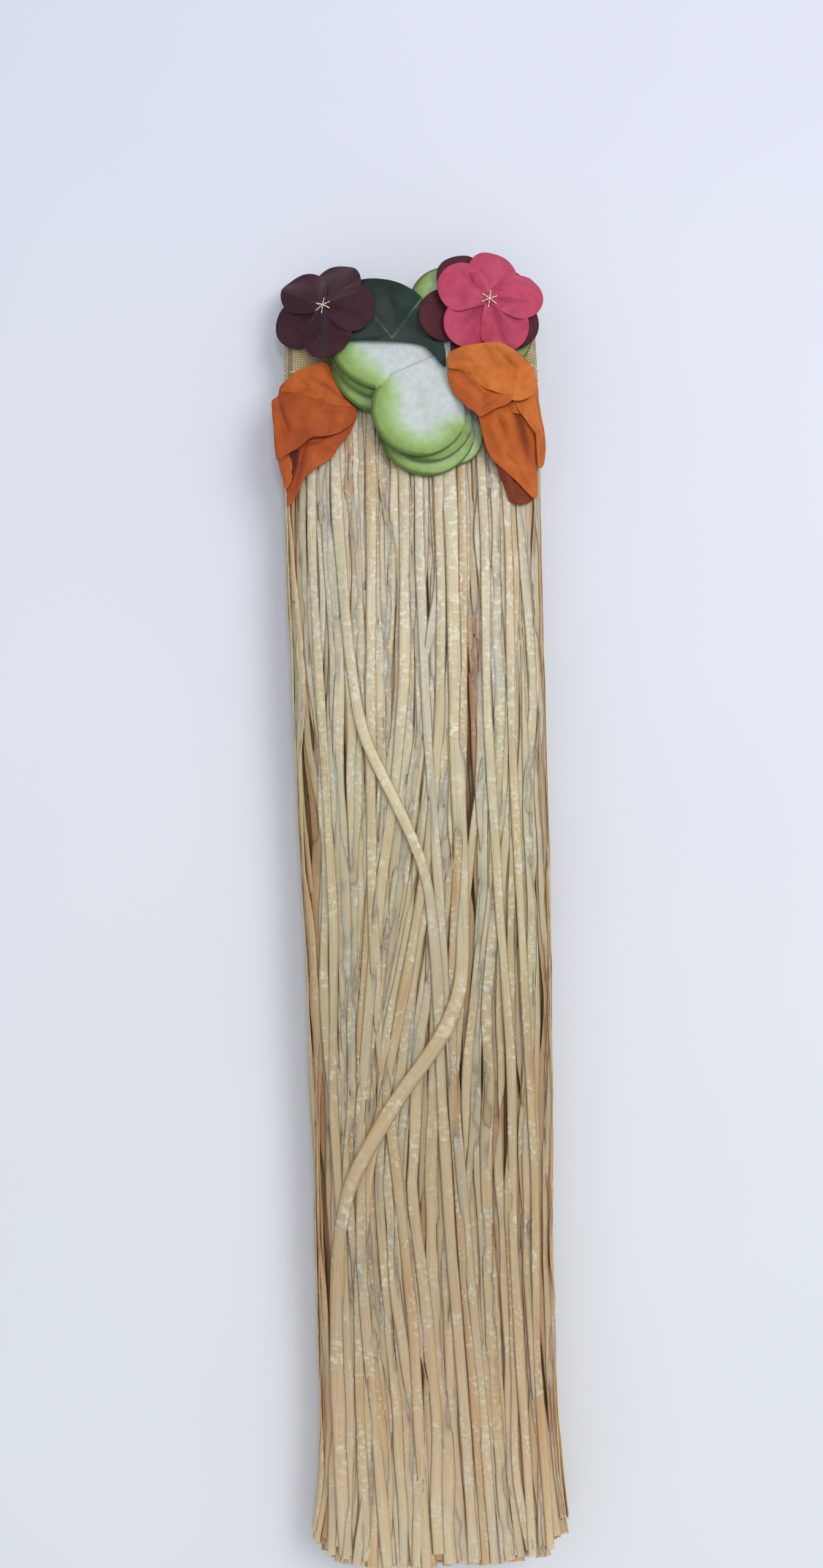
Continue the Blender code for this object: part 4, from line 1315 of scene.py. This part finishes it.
ORANGE_LEFT_LOWER = (
    (((-40.2, 157.5), (-36.1, 161.1), (-30, 163.6), (-24.6, 165.5), (-19.8, 168), (-18.5, 167),
      (-20.9, 161.7), (-24.6, 157.1), (-26.8, 153.8), (-28.9, 152.1), (-31.6, 150.6), (-35.7, 147.9),
      (-37.4, 145.8), (-38.9, 142.5), (-40.6, 139.5), (-42.2, 137.5), (-42.9, 138.9), (-43.1, 141.6),
      (-42.4, 145.2), (-42.6, 149.2), (-42.5, 154.2)),
     (-36, 153.5), -0.4, 0.56,
     ((-36.3, 157, -40.3, 143, -0.9, 1.5), (-32.8, 157.3, -21.6, 162.6, 0.6, 1.1),
      (-30.5, 158, -25.5, 155.5, 0.4, 1), (-33, 154.5, -29.5, 152.5, -0.3, 0.6),
      (-35.8, 158.3, -31, 158.4, -0.6, 0.5))),
    # painted shade: this small petal, at full shade, stands for the shade in the gap between the petals
    # around it
    (((-42.6, 155), (-38.2, 156.8), (-38.6, 152.4), (-39.9, 148.5), (-40.9, 146.2), (-41.9, 149)),
     (-40.4, 152), -0.15, 1,
     ((-40.2, 155.5, -40.6, 147.5, -0.4, 0.7),)),
    (((-45.9, 153.5), (-45, 157), (-42, 156.5), (-40.9, 151.5), (-40.7, 147.9), (-41.7, 144.8),
      (-43.3, 142.8), (-44.1, 146.3), (-44.9, 148.8)),
     (-42.9, 148.8), 0.35, 0.42,
     ((-43.6, 151.5, -42.6, 144.5, 0.4, 0.7),)),
)
ORANGE_LEFT_UPPER = (
    (((-47.6, 174.3), (-45.1, 175.3), (-44.6, 178.1), (-41.1, 181.3), (-38.4, 183.4), (-34, 184.8),
      (-28.9, 185.8), (-26, 182.4), (-24.7, 177.2), (-22.6, 173.8), (-18.9, 169.7), (-18.6, 167),
      (-20.6, 163.7), (-24.6, 161.1), (-28.7, 160.2), (-33.4, 159.8), (-35.4, 159.1), (-36.8, 157.9),
      (-38.8, 156.5), (-41.2, 155.4), (-44.8, 153), (-46, 152.5), (-46.5, 157.7), (-46.8, 164.4),
      (-47.3, 169.1)),
     (-36.5, 168.5), -0.5, 0.58,
     ((-45.3, 175.1, -42.1, 163.6, -0.9, 0.6), (-46.2, 167.1, -45.2, 155, 0.5, 1),
      (-40, 162.2, -23.2, 165.8, 0.6, 1.8), (-35.4, 159.5, -29.4, 160.4, -0.5, 0.6),
      (-43, 158, -37.5, 160.5, 0.4, 0.9), (-31, 168, -21, 168, -0.5, 0.9),
      (-44.5, 163, -41, 156.5, -0.35, 0.7))),
    (((-44.6, 177.6), (-41.1, 181.3), (-38.4, 183.4), (-34, 185), (-28.9, 186), (-25.9, 182.6),
      (-24.6, 177.2), (-22.9, 173.8), (-19.7, 169.7), (-24.4, 170.1), (-29.7, 171.6), (-34.3, 173.8),
      (-39.6, 175.6), (-44.3, 176.7)),
     (-32, 177), 0, 0.44,
     ((-33.5, 180.6, -23, 173.1, -0.6, 0.7), (-42, 178, -31, 176.5, 0.5, 1.2),
      (-38, 181.5, -34, 175.5, -0.35, 0.7), (-29, 182.5, -25.5, 176.5, 0.5, 0.9))),
)


def crumpled(name, petals):
    """An orange layer from its listed petals."""
    field = top_of(name)
    made = []
    for number, (outline, middle, lift, painted_shading, creases) in enumerate(petals):
        made.append(patch(
            rounded(outline), np.array(middle) * MM, field, creases, lift=lift, edge_rise=-0.4,
            ruffle=(5, 0.20, 0.37 * number), painted_shading=painted_shading, crush=1.5, seed=len(name) + 7 * number, rings=28,
        ))
    return cloth_piece(name, made, orange_cloth)


ORANGE_LAYERS = {
    "flower_orange_left_lower": ORANGE_LEFT_LOWER,
    "flower_orange_left_upper": ORANGE_LEFT_UPPER,
    "flower_orange_right_lower": ORANGE_RIGHT_LOWER,
    "flower_orange_right_upper": ORANGE_RIGHT_UPPER,
}
orange_flowers = [crumpled(node, petals) for node, petals in ORANGE_LAYERS.items()]

# %% Thread tacks in the small flowers
TACK_HALF = 0.0022
TACK_RISE = 0.00025


def tack_lines():
    """Three short crossing threads over the middle of the maroon and the pink-red flower."""
    lines = []
    for middle, field in (tacks[0], tacks[2]):
        for turn in (20, 80, 145):
            run = np.array((math.cos(math.radians(turn)), math.sin(math.radians(turn))))
            steps_along = np.linspace(-1, 1, 5)[:, None]
            spots = np.array(middle) + steps_along * TACK_HALF * run
            hump = TACK_RISE * (2 - steps_along[:, 0] ** 2)
            lines.append(np.column_stack((spots, height_on(field, spots[:, 0], spots[:, 1]) + hump)))
    return np.array(lines)


tack_spots = tack_lines()
up = np.broadcast_to((0.0, 0.0, 1.0), tack_spots.shape)
flower_tacks = sewn("flower_tacks", tack_spots, up, pitch=1.05 * MM, length=1.5 * MM, width=0.42 * MM)

# %% [markdown]
# ## Joining the looks to the imported skirt
# Every piece rides on the one body, and the imported solids that it stands for are hidden.

# %% Ride and replace
STANDS_FOR = {
    waistband: ("waistband_top_panel", "waistband_folded_layers"),
    grass_front: ("fringe_top_panel",),
    grass_outer_folds: ("fringe_folded_layers",),
}
SLOTS = {waistband: "waistband_tape", leaf: "leaf_cloth"}
for piece in grass:
    SLOTS[piece] = "raffia"
for piece in white_flower:
    SLOTS[piece] = "white_green_cloth"
for piece in orange_flowers:
    SLOTS[piece] = "orange_cloth"
for piece, name in zip(small_flowers, ("maroon_cloth", "dark_red_cloth", "pink_red_cloth")):
    SLOTS[piece] = name
SLOTS[waistband_stitches] = "waistband_tape"
SLOTS[flower_tacks] = "waistband_tape"
cloths = [*white_flower, leaf, *small_flowers, *orange_flowers]
for piece in cloths:
    STANDS_FOR[piece] = (cuts[piece][0],)
for piece, name in SLOTS.items():
    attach(piece, "root")
    if piece in STANDS_FOR:
        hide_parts(*STANDS_FOR[piece])

for piece in cloths:
    node, width, length, cut_area = cuts[piece]
    cut_area = min(max(cut_area, 0.3 * width * length), width * length)

# %% Sizes, and the end
low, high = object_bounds()
past = (*(cad_low - low), *(high - cad_high))
print("looks stand out past the packed box by", [round(v / MM, 1) for v in past], "mm")
